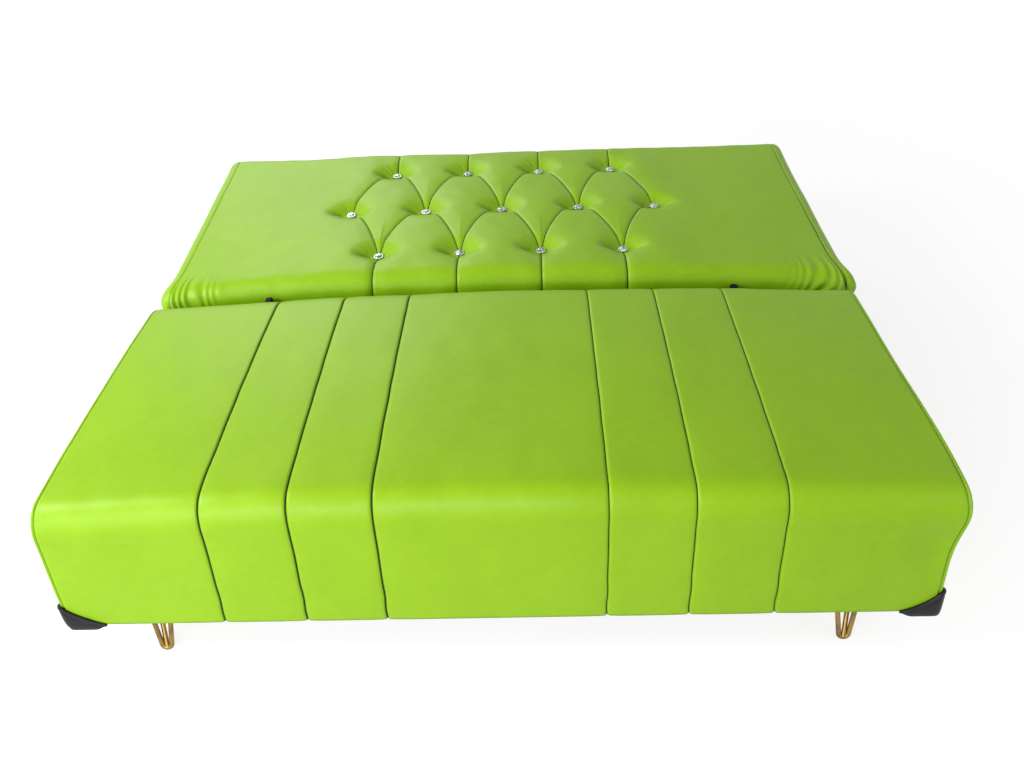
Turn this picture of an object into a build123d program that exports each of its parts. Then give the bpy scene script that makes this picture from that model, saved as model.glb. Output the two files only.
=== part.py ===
from build123d import *
import math
import os

# Fold-flat sofa bed, lying flat. X runs along its width, the seat's front faces -Y, and Z is up.
# The origin is on the floor under the middle of the whole bed. All sizes are millimetres.

# Overall
WIDTH = 1830.0
UNDERSIDE = 158.0
SEAT_DEPTH = 784.0
HINGE_GAP = 24.0
BACK_DEPTH = 754.0
FRONT_FLARE = 48.0

# Seat cushion
SEAT_HEIGHT = 446.0
SEAT_FALL = 55.0
SEAT_CROWN = 31.0
SEAT_TOP_BOW = 8.0
SHOULDER_RUN = 57.0
SHOULDER_RISE = 79.0
SEAT_REAR_ROUND = 90.0
CHANNEL_PLACES = (230.0, 400.0, 576.0)
CHANNEL_DEPTH = 5.0
CHANNEL_WIDTH = 7.0
SIDE_BULGE = 12.0
SIDE_DRAW = 30.0
SEAM_WIDTH = 5.0
SEAM_DEPTH = 3.0

# Back cushion
BACK_HEIGHT = 370.0
BACK_CROWN = 37.0
BACK_NEAR_ROUND = 55.0
BACK_FAR_ROUND = 37.0
BACK_SIDE_ROUND = 37.0
LEAST_ROUND = 4.0
BACK_STATION_SHARES = (0.0, 0.25, 0.5, 0.72, 0.88)
BACK_END_TURNS = (0.0, 30.0, 55.0, 78.0)

# Tufting
TUFT_PITCH = 230.0
TUFT_ROW_PITCH = 236.0
TUFT_FAR_MARGIN = 132.0
TUFT_NEAR_COUNT = 4
TUFT_MIDDLE_COUNT = 5
DIMPLE_DEPTH = 24.0
DIMPLE_RADIUS = 78.0
DIMPLE_FLOOR = 15.0
TUFT_SEAM_DEPTH = 6.0
TUFT_SEAM_WIDTH = 7.0
TUFT_SEAM_BOW = 22.0
TUFT_SEAM_START = 26.0
CUT_OVERRUN = 10.0

# Cover, foam and cloth
LEATHER = 2.0
SOFT_GAP = 0.5
TURN_UNDER = 45.0

# Wooden frames
BOARD = 25.0
RAIL_HEIGHT = 90.0
DECK = 9.0
SIDE_PADDING = 30.0
FRONT_PADDING = 36.0
END_PADDING = 15.0
LEG_BOARD_WIDTH = 120.0
BACK_INNER_JOIST_PLACE = 172.0

# Hairpin legs
LEG_PLACE = 757.0
LEG_PLATE = 110.0
LEG_PLATE_THICK = 4.0
LEG_PLATE_CORNER = 12.0
LEG_EDGE_MARGIN = 25.0
LEG_ROD = 11.0
LEG_ROD_SPREAD = 60.0
LEG_TIP_RADIUS = 11.0
LEG_TIP_REACH = 56.0
LEG_TIP_FLAT = 0.5
SCREW_SPREAD = 92.0
SCREW_SHANK = 4.0
SCREW_HEAD = 8.0
SCREW_HEAD_HEIGHT = 2.4
SCREW_BITE = 18.0
SCREW_CLEARANCE = 0.1

# Corner caps
CAP_WALL = 3.0
CAP_RUN = 95.0
CAP_RISE = 88.0
CAP_SCOOP = 140.0
CAP_SCREW_IN = 36.0
CAP_SCREW_BACK = 44.0

# Click-clack hinges
HINGE_PLACE = 620.0
HINGE_HEIGHT = 352.0
HINGE_PLATE = 4.0
HINGE_SIDE_GAP = 0.3
HINGE_EYE = 11.5
HINGE_BORE_GAP = 0.05
HINGE_PIN = 10.0
PIN_HEAD = 16.0
PIN_HEAD_HEIGHT = 3.0
PIN_HEAD_GAP = 0.1
BAR_WIDTH = 40.0
BAR_LENGTH = 210.0
BAR_LIFT = 20.0
BAR_END = 20.0
BACK_BAR_LIFT = 47.0
RATCHET_RADIUS = 24.0
RATCHET_NOTCH_DEPTH = 4.4
RATCHET_NOTCH_WIDTH = 5.6
RATCHET_NOTCH_TURNS = (0.0, 26.0, 49.0, 72.0)
RATCHET_SPARE_TURN = 14.0
PAWL_ANGLE = 250.0
PAWL_REACH = 35.0
PAWL_WIDTH = 11.0
PAWL_TOOTH_WIDTH = 4.0
PAWL_TOOTH_HEIGHT = 3.8
PAWL_CLEARANCE = 0.5
PAWL_PIN = 6.0
PAWL_PIN_HEAD = 11.0
PAWL_PIN_HEAD_HEIGHT = 2.0
PAWL_EYE = 8.0
SPRING_THICK = 1.0
SPRING_LENGTH = 30.0
SPRING_FOOT = 6.0
SPRING_GAP = 0.3
BOLT = 8.0
BOLT_HEAD = 7.5
BOLT_HEAD_HEIGHT = 5.0
HEX_SIDES = 6
BOLT_SPACING = 70.0
BOLT_CLEARANCE = 0.2
POCKET_SIDE_GAP = 1.0
POCKET_DEPTH = 46.0
POCKET_RISE = 20.0
SLOT_GAP = 0.5

# Buttons
BUTTON_RIM = 13.0
BUTTON_RIM_HEIGHT = 6.0
BUTTON_RIM_WALL = 2.2
BUTTON_RIM_FLOOR = 1.6
CRYSTAL_RADIUS = 10.6
CRYSTAL_GIRDLE = 4.0
CRYSTAL_TABLE_SHARE = 0.55
CRYSTAL_CROWN = 3.4
CRYSTAL_SIDES = 12
TIE = 2.4
TIE_CLEARANCE = 0.4
TOGGLE_RADIUS = 9.0
TOGGLE_HEIGHT = 3.0

# Places worked out from the sizes above
HALF = WIDTH / 2
DEPTH = FRONT_FLARE + SEAT_DEPTH + HINGE_GAP + BACK_DEPTH
FRONT = -DEPTH / 2
SHOULDER = FRONT + FRONT_FLARE
SEAT_REAR = SHOULDER + SEAT_DEPTH
BACK_NEAR = SEAT_REAR + HINGE_GAP
BACK_FAR = BACK_NEAR + BACK_DEPTH
FRAME_BASE = UNDERSIDE + LEATHER
RAIL_TOP = FRAME_BASE + RAIL_HEIGHT
DECK_TOP = RAIL_TOP + DECK
FRAME_HALF = HALF - SIDE_PADDING
SEAT_FRAME_FRONT = FRONT + FRONT_PADDING
SEAT_FRAME_REAR = SEAT_REAR - END_PADDING
BACK_FRAME_NEAR = BACK_NEAR + END_PADDING
BACK_FRAME_FAR = BACK_FAR - END_PADDING
HINGE_Y = SEAT_REAR + HINGE_GAP / 2
MIDDLE_LAYER = HINGE_PLACE + HINGE_PLATE + HINGE_SIDE_GAP
BACK_ARM_LAYER = MIDDLE_LAYER + HINGE_PLATE + HINGE_SIDE_GAP
BACK_JOIST_FACE = BACK_ARM_LAYER + HINGE_PLATE
DIAGONAL = math.cos(math.radians(45))
CAP_SCREW_PLACE = (HALF - CAP_SCREW_IN, FRONT + CAP_SCREW_BACK)

os.makedirs("parts", exist_ok=True)


def keep(piece, name):
    """Label a finished piece and write it to its own file."""
    piece.label = name
    export_step(piece, "parts/" + name + ".step")


def keep_pair(piece, name):
    """Write a right-hand piece and its mirror image on the left."""
    keep(piece, name + "_right")
    keep(mirror(piece, about=Plane.YZ), name + "_left")


def block(left, right, front, rear, low, high):
    """A plain board between the given faces."""
    with BuildPart() as board:
        with BuildSketch(Plane.XY.offset(low)):
            with Locations(((left + right) / 2, (front + rear) / 2)):
                Rectangle(right - left, rear - front)
        extrude(amount=high - low)
    return board.part


def both_sides(places):
    """Places on the right, and their mirror images on the left."""
    return places + [(-x, y) for x, y in places]


def seat_points(place, inset, floor):
    """Corners of the seat's side outline at one place along its width, drawn in by inset."""
    crown = SEAT_CROWN * (1 - (place / HALF) ** 2)
    top = SEAT_HEIGHT + crown - inset
    front = SHOULDER + inset
    rear = SEAT_REAR - inset
    run = max(SHOULDER_RUN - inset, LEAST_ROUND)
    rise = max(SHOULDER_RISE - inset, LEAST_ROUND)
    turn = max(SEAT_REAR_ROUND - inset, LEAST_ROUND)
    slope = FRONT_FLARE / (top - rise - UNDERSIDE)
    rear_top = top - SEAT_FALL
    foot = (front - slope * (top - rise - floor), floor)
    shoulder_start = (front, top - rise)
    shoulder_middle = (front + run * (1 - DIAGONAL), top - rise * (1 - DIAGONAL))
    shoulder_end = (front + run, top)
    rear_start = (rear - turn, rear_top)
    rear_middle = (rear - turn * (1 - DIAGONAL), rear_top - turn * (1 - DIAGONAL))
    rear_end = (rear, rear_top - turn)
    bow = ((shoulder_end[0] + rear_start[0]) / 2, top - SEAT_FALL / 2 + SEAT_TOP_BOW)
    shoulder = (shoulder_start, shoulder_middle, shoulder_end)
    return foot, shoulder, bow, (rear_start, rear_middle, rear_end), (rear, floor)


def seat_stations(inset):
    """Places along half of the width, from the middle out, with how far each is drawn in."""
    stations = [(0.0, 0.0)]
    last = 0.0
    for channel in CHANNEL_PLACES:
        if last:
            stations.append(((last + channel) / 2, 0.0))
        else:
            stations.append((channel / 2, 0.0))
        stations.append((channel - CHANNEL_WIDTH, 0.0))
        stations.append((channel, CHANNEL_DEPTH))
        stations.append((channel + CHANNEL_WIDTH, 0.0))
        last = channel
    end = HALF - inset
    seam = end - SIDE_BULGE
    stations.append(((2 * last + seam) / 3, 0.0))
    stations.append(((last + 2 * seam) / 3, 0.0))
    stations.append((seam - SEAM_WIDTH, 0.0))
    stations.append((seam, SEAM_DEPTH))
    stations.append((seam + SEAM_WIDTH, 0.0))
    stations.append((end - SIDE_BULGE / 4, SIDE_DRAW / 5))
    stations.append((end, SIDE_DRAW))
    return stations


def seat_form(inset, floor):
    """The whole seat cushion: crowned, channelled, with drawn-in sides."""
    half = seat_stations(inset)
    stations = [(-place, pinch) for place, pinch in reversed(half[1:])] + half
    with BuildPart() as form:
        for place, pinch in stations:
            foot, shoulder, bow, turn, heel = seat_points(place, inset + pinch, floor)
            with BuildSketch(Plane.YZ.offset(place)):
                with BuildLine():
                    Line(foot, shoulder[0])
                    ThreePointArc(*shoulder)
                    ThreePointArc(shoulder[2], bow, turn[0])
                    ThreePointArc(*turn)
                    Line(turn[2], heel)
                    Line(heel, foot)
                make_face()
        loft(ruled=True)
    return form.part


def back_top(x, y):
    """Height of the back's top surface, crowned along its near end."""
    return BACK_HEIGHT + BACK_CROWN * (1 - (x / HALF) ** 2) * (BACK_FAR - y) / BACK_DEPTH


def back_points(place, inset, floor):
    """Corners of the back's side outline at one place along its width, drawn in by inset."""
    near = BACK_NEAR + inset
    far = BACK_FAR - inset
    near_top = back_top(place, BACK_NEAR) - inset
    far_top = BACK_HEIGHT - inset
    near_turn = max(BACK_NEAR_ROUND - inset, LEAST_ROUND)
    far_turn = max(BACK_FAR_ROUND - inset, LEAST_ROUND)
    near_start = (near, near_top - near_turn)
    near_middle = (near + near_turn * (1 - DIAGONAL), near_top - near_turn * (1 - DIAGONAL))
    near_end = (near + near_turn, near_top)
    far_start = (far - far_turn, far_top)
    far_middle = (far - far_turn * (1 - DIAGONAL), far_top - far_turn * (1 - DIAGONAL))
    far_end = (far, far_top - far_turn)
    near_arc = (near_start, near_middle, near_end)
    return (near, floor), near_arc, (far_start, far_middle, far_end), (far, floor)


def back_form(inset, floor):
    """The back cushion without its tufts: crowned, with rounded sides and corners."""
    straight = HALF - BACK_SIDE_ROUND
    last_reach = math.sin(math.radians(BACK_END_TURNS[-1]))
    half = [(share * straight, 0.0) for share in BACK_STATION_SHARES]
    for turn in BACK_END_TURNS:
        reach = (BACK_SIDE_ROUND - inset) * math.sin(math.radians(turn)) / last_reach
        half.append((straight + reach, BACK_SIDE_ROUND * (1 - math.cos(math.radians(turn)))))
    stations = [(-place, pinch) for place, pinch in reversed(half[1:])] + half
    with BuildPart() as form:
        for place, pinch in stations:
            near_foot, near_arc, far_arc, far_foot = back_points(place, inset + pinch, floor)
            with BuildSketch(Plane.YZ.offset(place)):
                with BuildLine():
                    Line(near_foot, near_arc[0])
                    ThreePointArc(*near_arc)
                    Line(near_arc[2], far_arc[0])
                    ThreePointArc(*far_arc)
                    Line(far_arc[2], far_foot)
                    Line(far_foot, near_foot)
                make_face()
        loft(ruled=True)
    return form.part


# Tuft places: a far row and a near row of four, and a middle row of five between them
FAR_ROW = BACK_FAR - TUFT_FAR_MARGIN
MIDDLE_ROW = FAR_ROW - TUFT_ROW_PITCH
NEAR_ROW = MIDDLE_ROW - TUFT_ROW_PITCH
OUTER_ROW_PLACES = [(i - (TUFT_NEAR_COUNT - 1) / 2) * TUFT_PITCH for i in range(TUFT_NEAR_COUNT)]
MIDDLE_ROW_PLACES = [(i - (TUFT_MIDDLE_COUNT - 1) / 2) * TUFT_PITCH for i in range(TUFT_MIDDLE_COUNT)]
TUFTS = [(x, FAR_ROW) for x in OUTER_ROW_PLACES]
TUFTS += [(x, MIDDLE_ROW) for x in MIDDLE_ROW_PLACES]
TUFTS += [(x, NEAR_ROW) for x in OUTER_ROW_PLACES]


def dimple_floor(x, y):
    """Height of the flat bottom of a dimple, where its button sits."""
    return back_top(x, y) - DIMPLE_DEPTH


def dimple_cutter():
    """What one dimple takes away: a flat floor and a flank that rises as a convex swell."""
    with BuildPart() as cutter:
        with BuildSketch(Plane.XZ):
            with BuildLine():
                Line((0, -DIMPLE_DEPTH), (DIMPLE_FLOOR, -DIMPLE_DEPTH))
                ThreePointArc(
                    (DIMPLE_FLOOR, -DIMPLE_DEPTH),
                    ((DIMPLE_FLOOR * 2 + DIMPLE_RADIUS) / 3, -DIMPLE_DEPTH / 3),
                    (DIMPLE_RADIUS, 0),
                )
                Line((DIMPLE_RADIUS, 0), (DIMPLE_RADIUS, CUT_OVERRUN))
                Line((DIMPLE_RADIUS, CUT_OVERRUN), (0, CUT_OVERRUN))
                Line((0, CUT_OVERRUN), (0, -DIMPLE_DEPTH))
            make_face()
        revolve(axis=Axis.Z)
    return cutter.part


def seam_cutter(path):
    """The vee that a sewn seam presses into the surface, swept along the seam's path."""
    start = path @ 0
    along = path % 0
    across = Vector(-along.Y, along.X, 0)
    with BuildPart() as cutter:
        with BuildSketch(Plane(origin=start, x_dir=across, z_dir=along)):
            with BuildLine():
                Polyline(
                    (0, -TUFT_SEAM_DEPTH),
                    (TUFT_SEAM_WIDTH, 0),
                    (TUFT_SEAM_WIDTH, CUT_OVERRUN),
                    (-TUFT_SEAM_WIDTH, CUT_OVERRUN),
                    (-TUFT_SEAM_WIDTH, 0),
                    close=True,
                )
            make_face()
        sweep(path=path)
    return cutter.part


def diamond_seam(far_tuft, near_tuft):
    """A bowed seam between a tuft and the next row's tuft beside it, from flank to flank."""
    (x0, y0), (x1, y1) = far_tuft, near_tuft
    share = TUFT_SEAM_START / math.hypot(x1 - x0, y1 - y0)
    ax, ay = x0 + share * (x1 - x0), y0 + share * (y1 - y0)
    bx, by = x1 + share * (x0 - x1), y1 + share * (y0 - y1)
    side = 1 if x1 > x0 else -1
    mx = (x0 + x1) / 2 + side * TUFT_SEAM_BOW * DIAGONAL
    my = (y0 + y1) / 2 + TUFT_SEAM_BOW * DIAGONAL
    with BuildLine() as path:
        ThreePointArc((ax, ay, back_top(ax, ay)), (mx, my, back_top(mx, my)), (bx, by, back_top(bx, by)))
    return seam_cutter(path.line)


def far_seam(x):
    """A straight seam from a far tuft over the far edge and down its rounding."""
    turn = BACK_FAR_ROUND
    start = FAR_ROW + TUFT_SEAM_START
    with BuildLine() as path:
        Line((x, start, back_top(x, start)), (x, BACK_FAR - turn, BACK_HEIGHT))
        ThreePointArc(
            (x, BACK_FAR - turn, BACK_HEIGHT),
            (x, BACK_FAR - turn * (1 - DIAGONAL), BACK_HEIGHT - turn * (1 - DIAGONAL)),
            (x, BACK_FAR, BACK_HEIGHT - turn),
        )
    return seam_cutter(path.line)


def near_seam(x):
    """A straight seam from a near tuft over the near edge."""
    turn = BACK_NEAR_ROUND
    start = NEAR_ROW - TUFT_SEAM_START
    top = back_top(x, BACK_NEAR)
    with BuildLine() as path:
        Line((x, start, back_top(x, start)), (x, BACK_NEAR + turn, top))
        ThreePointArc(
            (x, BACK_NEAR + turn, top),
            (x, BACK_NEAR + turn * (1 - DIAGONAL), top - turn * (1 - DIAGONAL)),
            (x, BACK_NEAR, top - turn),
        )
    return seam_cutter(path.line)


def diamond_seams():
    """Every bowed seam: each outer-row tuft joins its two neighbours in the middle row."""
    seams = []
    for x in OUTER_ROW_PLACES:
        for side in (-1, 1):
            neighbour = (x + side * TUFT_PITCH / 2, MIDDLE_ROW)
            seams.append(diamond_seam((x, FAR_ROW), neighbour))
            seams.append(diamond_seam(neighbour, (x, NEAR_ROW)))
    return seams


DIMPLE = dimple_cutter()
TOP_SEAMS = diamond_seams()
FAR_SEAMS = [far_seam(x) for x in OUTER_ROW_PLACES]
NEAR_SEAMS = [near_seam(x) for x in OUTER_ROW_PLACES]


def tufted_form(inset, floor):
    """The back cushion with its dimples and sewn seams, drawn in by inset."""
    plain = back_form(inset, floor)
    with BuildPart() as form:
        add(plain)
        with Locations((0, 0, -inset)):
            add(TOP_SEAMS, mode=Mode.SUBTRACT)
        with Locations((0, -inset, -inset)):
            add(FAR_SEAMS, mode=Mode.SUBTRACT)
        with Locations((0, inset, -inset)):
            add(NEAR_SEAMS, mode=Mode.SUBTRACT)
        with Locations([(x, y, back_top(x, y) - inset) for x, y in TUFTS]):
            add(DIMPLE, mode=Mode.SUBTRACT)
    return form.part


# Pockets and slots that let the hinge plates through


def seat_pocket(side):
    """The slot in the seat's rear edge that holds one hinge's plates and pawl."""
    low = HINGE_PLACE - PAWL_PIN_HEAD_HEIGHT - POCKET_SIDE_GAP
    high = BACK_ARM_LAYER + PAWL_PIN_HEAD_HEIGHT + POCKET_SIDE_GAP
    left, right = (low, high) if side > 0 else (-high, -low)
    front = SEAT_REAR - POCKET_DEPTH
    floor = FRAME_BASE + BAR_LIFT - POCKET_SIDE_GAP
    return block(left, right, front, SEAT_REAR + CUT_OVERRUN, floor, HINGE_HEIGHT + POCKET_RISE)


def back_slot(side):
    """The slot in the back's near end that one hinge's back arm passes through."""
    low = BACK_ARM_LAYER - SLOT_GAP
    high = BACK_JOIST_FACE + SLOT_GAP
    left, right = (low, high) if side > 0 else (-high, -low)
    floor = FRAME_BASE + BACK_BAR_LIFT - SLOT_GAP
    rear = BACK_FRAME_NEAR + BOARD
    return block(left, right, BACK_NEAR - CUT_OVERRUN, rear, floor, floor + BAR_WIDTH + 2 * SLOT_GAP)


SEAT_POCKETS = [seat_pocket(1), seat_pocket(-1)]
BACK_SLOTS = [back_slot(1), back_slot(-1)]


def window(front, rear, floor, top):
    """The opening left on the underside by a cover's turned-under edge."""
    half = HALF - TURN_UNDER
    return block(-half, half, front + TURN_UNDER, rear - TURN_UNDER, floor, top)


# Seat cover, foam and dust cloth

seat_outside = seat_form(0, UNDERSIDE)
seat_inside = seat_form(LEATHER, FRAME_BASE)
seat_window = window(FRONT, SEAT_REAR, UNDERSIDE - CUT_OVERRUN, FRAME_BASE + CUT_OVERRUN)
with BuildPart() as seat_cover:
    add(seat_outside)
    add(seat_inside, mode=Mode.SUBTRACT)
    add(seat_window, mode=Mode.SUBTRACT)
    add(SEAT_POCKETS, mode=Mode.SUBTRACT)
    with BuildSketch(Plane.XY.offset(UNDERSIDE)):
        with Locations(both_sides([CAP_SCREW_PLACE])):
            Circle(SCREW_SHANK / 2 + SCREW_CLEARANCE)
    extrude(amount=LEATHER, mode=Mode.SUBTRACT)
keep(seat_cover.part, "seat_cover")

seat_padding = seat_form(LEATHER + SOFT_GAP, FRAME_BASE)
seat_frame_space = block(
    -FRAME_HALF, FRAME_HALF, SEAT_FRAME_FRONT, SEAT_FRAME_REAR, FRAME_BASE - CUT_OVERRUN, DECK_TOP
)
with BuildPart() as seat_foam:
    add(seat_padding)
    add(seat_frame_space, mode=Mode.SUBTRACT)
    add(SEAT_POCKETS, mode=Mode.SUBTRACT)
keep(seat_foam.part, "seat_foam")


def leg_screw_places(leg_y):
    """The four screw places of one leg plate, on the right-hand side."""
    return [
        (LEG_PLACE + i * SCREW_SPREAD / 2, leg_y + j * SCREW_SPREAD / 2)
        for i in (-1, 1)
        for j in (-1, 1)
    ]


FRONT_LEG_Y = SEAT_FRAME_FRONT + LEG_EDGE_MARGIN + LEG_PLATE / 2
REAR_LEG_Y = SEAT_FRAME_REAR - LEG_EDGE_MARGIN - LEG_PLATE / 2
BACK_LEG_Y = BACK_FRAME_FAR - LEG_EDGE_MARGIN - LEG_PLATE / 2
SEAT_SCREWS = leg_screw_places(FRONT_LEG_Y) + leg_screw_places(REAR_LEG_Y)
BACK_SCREWS = leg_screw_places(BACK_LEG_Y)


def underside_cloth(front, rear, screws):
    """Thin cloth that closes the underside inside the cover's turned-under edge."""
    half = HALF - TURN_UNDER - SOFT_GAP
    near = front + TURN_UNDER + SOFT_GAP
    far = rear - TURN_UNDER - SOFT_GAP
    with BuildPart() as cloth:
        with BuildSketch(Plane.XY.offset(UNDERSIDE)):
            with Locations((0, (near + far) / 2)):
                Rectangle(2 * half, far - near)
            with Locations(both_sides(screws)):
                Circle(SCREW_SHANK / 2 + SCREW_CLEARANCE, mode=Mode.SUBTRACT)
        extrude(amount=LEATHER)
    return cloth.part


keep(underside_cloth(FRONT, SEAT_REAR, SEAT_SCREWS), "seat_dust_cloth")


# Seat frame


def cross_rail(front, rear):
    """A rail along the whole width of a frame."""
    return block(-FRAME_HALF, FRAME_HALF, front, rear, FRAME_BASE, RAIL_TOP)


def bolt_places(front, lift):
    """The two bolt places of one hinge arm, as depth and height."""
    height = FRAME_BASE + lift + BAR_WIDTH / 2
    middle = front + BAR_LENGTH / 2
    return [(middle + i * BOLT_SPACING / 2, height) for i in (-1, 1)]


SEAT_BAR_FRONT = SEAT_FRAME_REAR - BOARD - BAR_LENGTH
BACK_BAR_FRONT = BACK_FRAME_NEAR + BOARD
SEAT_BOLTS = bolt_places(SEAT_BAR_FRONT, BAR_LIFT)
BACK_BOLTS = bolt_places(BACK_BAR_FRONT, BACK_BAR_LIFT)


def hinge_joist(left, front, rear, bolts):
    """A joist along the depth, drilled for its hinge arm's bolts."""
    plain = block(left, left + BOARD, front, rear, FRAME_BASE, RAIL_TOP)
    with BuildPart() as joist:
        add(plain)
        with BuildSketch(Plane.YZ.offset(left)):
            with Locations(bolts):
                Circle(BOLT / 2 + BOLT_CLEARANCE)
        extrude(amount=BOARD, mode=Mode.SUBTRACT)
    return joist.part


def leg_board(front, rear, screws):
    """A flat board over the legs, drilled for their screws."""
    left = LEG_PLACE - LEG_BOARD_WIDTH / 2
    plain = block(left, left + LEG_BOARD_WIDTH, front, rear, FRAME_BASE, FRAME_BASE + BOARD)
    with BuildPart() as board:
        add(plain)
        with BuildSketch(Plane.XY.offset(FRAME_BASE)):
            with Locations(screws):
                Circle(SCREW_SHANK / 2 + SCREW_CLEARANCE)
        extrude(amount=BOARD, mode=Mode.SUBTRACT)
    return board.part


seat_inner_front = SEAT_FRAME_FRONT + BOARD
seat_inner_rear = SEAT_FRAME_REAR - BOARD
seat_front_board = cross_rail(SEAT_FRAME_FRONT, seat_inner_front)
with BuildPart() as seat_front_rail:
    add(seat_front_board)
    with BuildSketch(Plane.XY.offset(FRAME_BASE)):
        with Locations(both_sides([CAP_SCREW_PLACE])):
            Circle(SCREW_SHANK / 2 + SCREW_CLEARANCE)
    extrude(amount=SCREW_BITE, mode=Mode.SUBTRACT)
keep(seat_front_rail.part, "seat_front_rail")

seat_rear_board = cross_rail(seat_inner_rear, SEAT_FRAME_REAR)
with BuildPart() as seat_rear_rail:
    add(seat_rear_board)
    add(SEAT_POCKETS, mode=Mode.SUBTRACT)
keep(seat_rear_rail.part, "seat_rear_rail")

seat_side_rail = block(
    FRAME_HALF - BOARD, FRAME_HALF, seat_inner_front, seat_inner_rear, FRAME_BASE, RAIL_TOP
)
keep_pair(seat_side_rail, "seat_side_rail")
seat_joist = hinge_joist(HINGE_PLACE - BOARD, seat_inner_front, seat_inner_rear, SEAT_BOLTS)
keep_pair(seat_joist, "seat_joist")
seat_joist_middle = block(
    -BOARD / 2, BOARD / 2, seat_inner_front, seat_inner_rear, FRAME_BASE, RAIL_TOP
)
keep(seat_joist_middle, "seat_joist_middle")
keep_pair(leg_board(seat_inner_front, seat_inner_rear, SEAT_SCREWS), "seat_leg_board")

seat_deck_plain = block(
    -FRAME_HALF, FRAME_HALF, SEAT_FRAME_FRONT, SEAT_FRAME_REAR, RAIL_TOP, DECK_TOP
)
with BuildPart() as seat_deck:
    add(seat_deck_plain)
    add(SEAT_POCKETS, mode=Mode.SUBTRACT)
keep(seat_deck.part, "seat_deck")


# Corner caps on the seat's front corners

CAP_HEIGHT_OF_SCOOP = ((2 * CAP_SCOOP - CAP_RUN) * CAP_RUN + CAP_RISE**2) / (2 * CAP_RISE)
CAP_SCOOP_RADIUS = math.sqrt((CAP_SCOOP - CAP_RUN) ** 2 + CAP_SCOOP**2 + CAP_HEIGHT_OF_SCOOP**2)

cap_outside = seat_form(-CAP_WALL, UNDERSIDE - CAP_WALL)
cap_block = block(
    HALF - CAP_RUN, HALF + CAP_WALL + CUT_OVERRUN,
    FRONT - CAP_WALL - CUT_OVERRUN, FRONT + CAP_RUN,
    UNDERSIDE - CAP_WALL, UNDERSIDE + CAP_RISE,
)
with BuildPart() as corner_cap:
    add(cap_block)
    add(cap_outside, mode=Mode.INTERSECT)
    with Locations((HALF - CAP_SCOOP, FRONT + CAP_SCOOP, UNDERSIDE + CAP_HEIGHT_OF_SCOOP)):
        Sphere(CAP_SCOOP_RADIUS, mode=Mode.SUBTRACT)
    add(seat_outside, mode=Mode.SUBTRACT)
    with BuildSketch(Plane.XY.offset(UNDERSIDE - CAP_WALL)):
        with Locations(CAP_SCREW_PLACE):
            Circle(SCREW_SHANK / 2 + SCREW_CLEARANCE)
    extrude(amount=CAP_WALL, mode=Mode.SUBTRACT)
keep_pair(corner_cap.part, "corner_cap")


# Screws


def wood_screws(places, face, bite):
    """Pan-head screws driven upwards, their heads under the given face."""
    with BuildPart() as screws:
        with BuildSketch(Plane.XY.offset(face - SCREW_HEAD_HEIGHT)):
            with Locations(places):
                Circle(SCREW_HEAD / 2)
        extrude(amount=SCREW_HEAD_HEIGHT)
        with BuildSketch(Plane.XY.offset(face)):
            with Locations(places):
                Circle(SCREW_SHANK / 2)
        extrude(amount=bite)
    return screws.part


keep(
    wood_screws(both_sides([CAP_SCREW_PLACE]), UNDERSIDE - CAP_WALL, CAP_WALL + SCREW_BITE),
    "corner_cap_screws",
)
leg_screw_face = UNDERSIDE - LEG_PLATE_THICK
leg_screw_bite = LEG_PLATE_THICK + LEATHER + SCREW_BITE
keep(wood_screws(both_sides(SEAT_SCREWS), leg_screw_face, leg_screw_bite), "seat_leg_screws")
keep(wood_screws(both_sides(BACK_SCREWS), leg_screw_face, leg_screw_bite), "back_leg_screws")


# Hairpin legs


def rod(path):
    """A round rod along a path."""
    with BuildPart() as bent:
        with BuildSketch(Plane(origin=path @ 0, z_dir=path % 0)):
            Circle(LEG_ROD / 2)
        sweep(path=path)
    return bent.part


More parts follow.
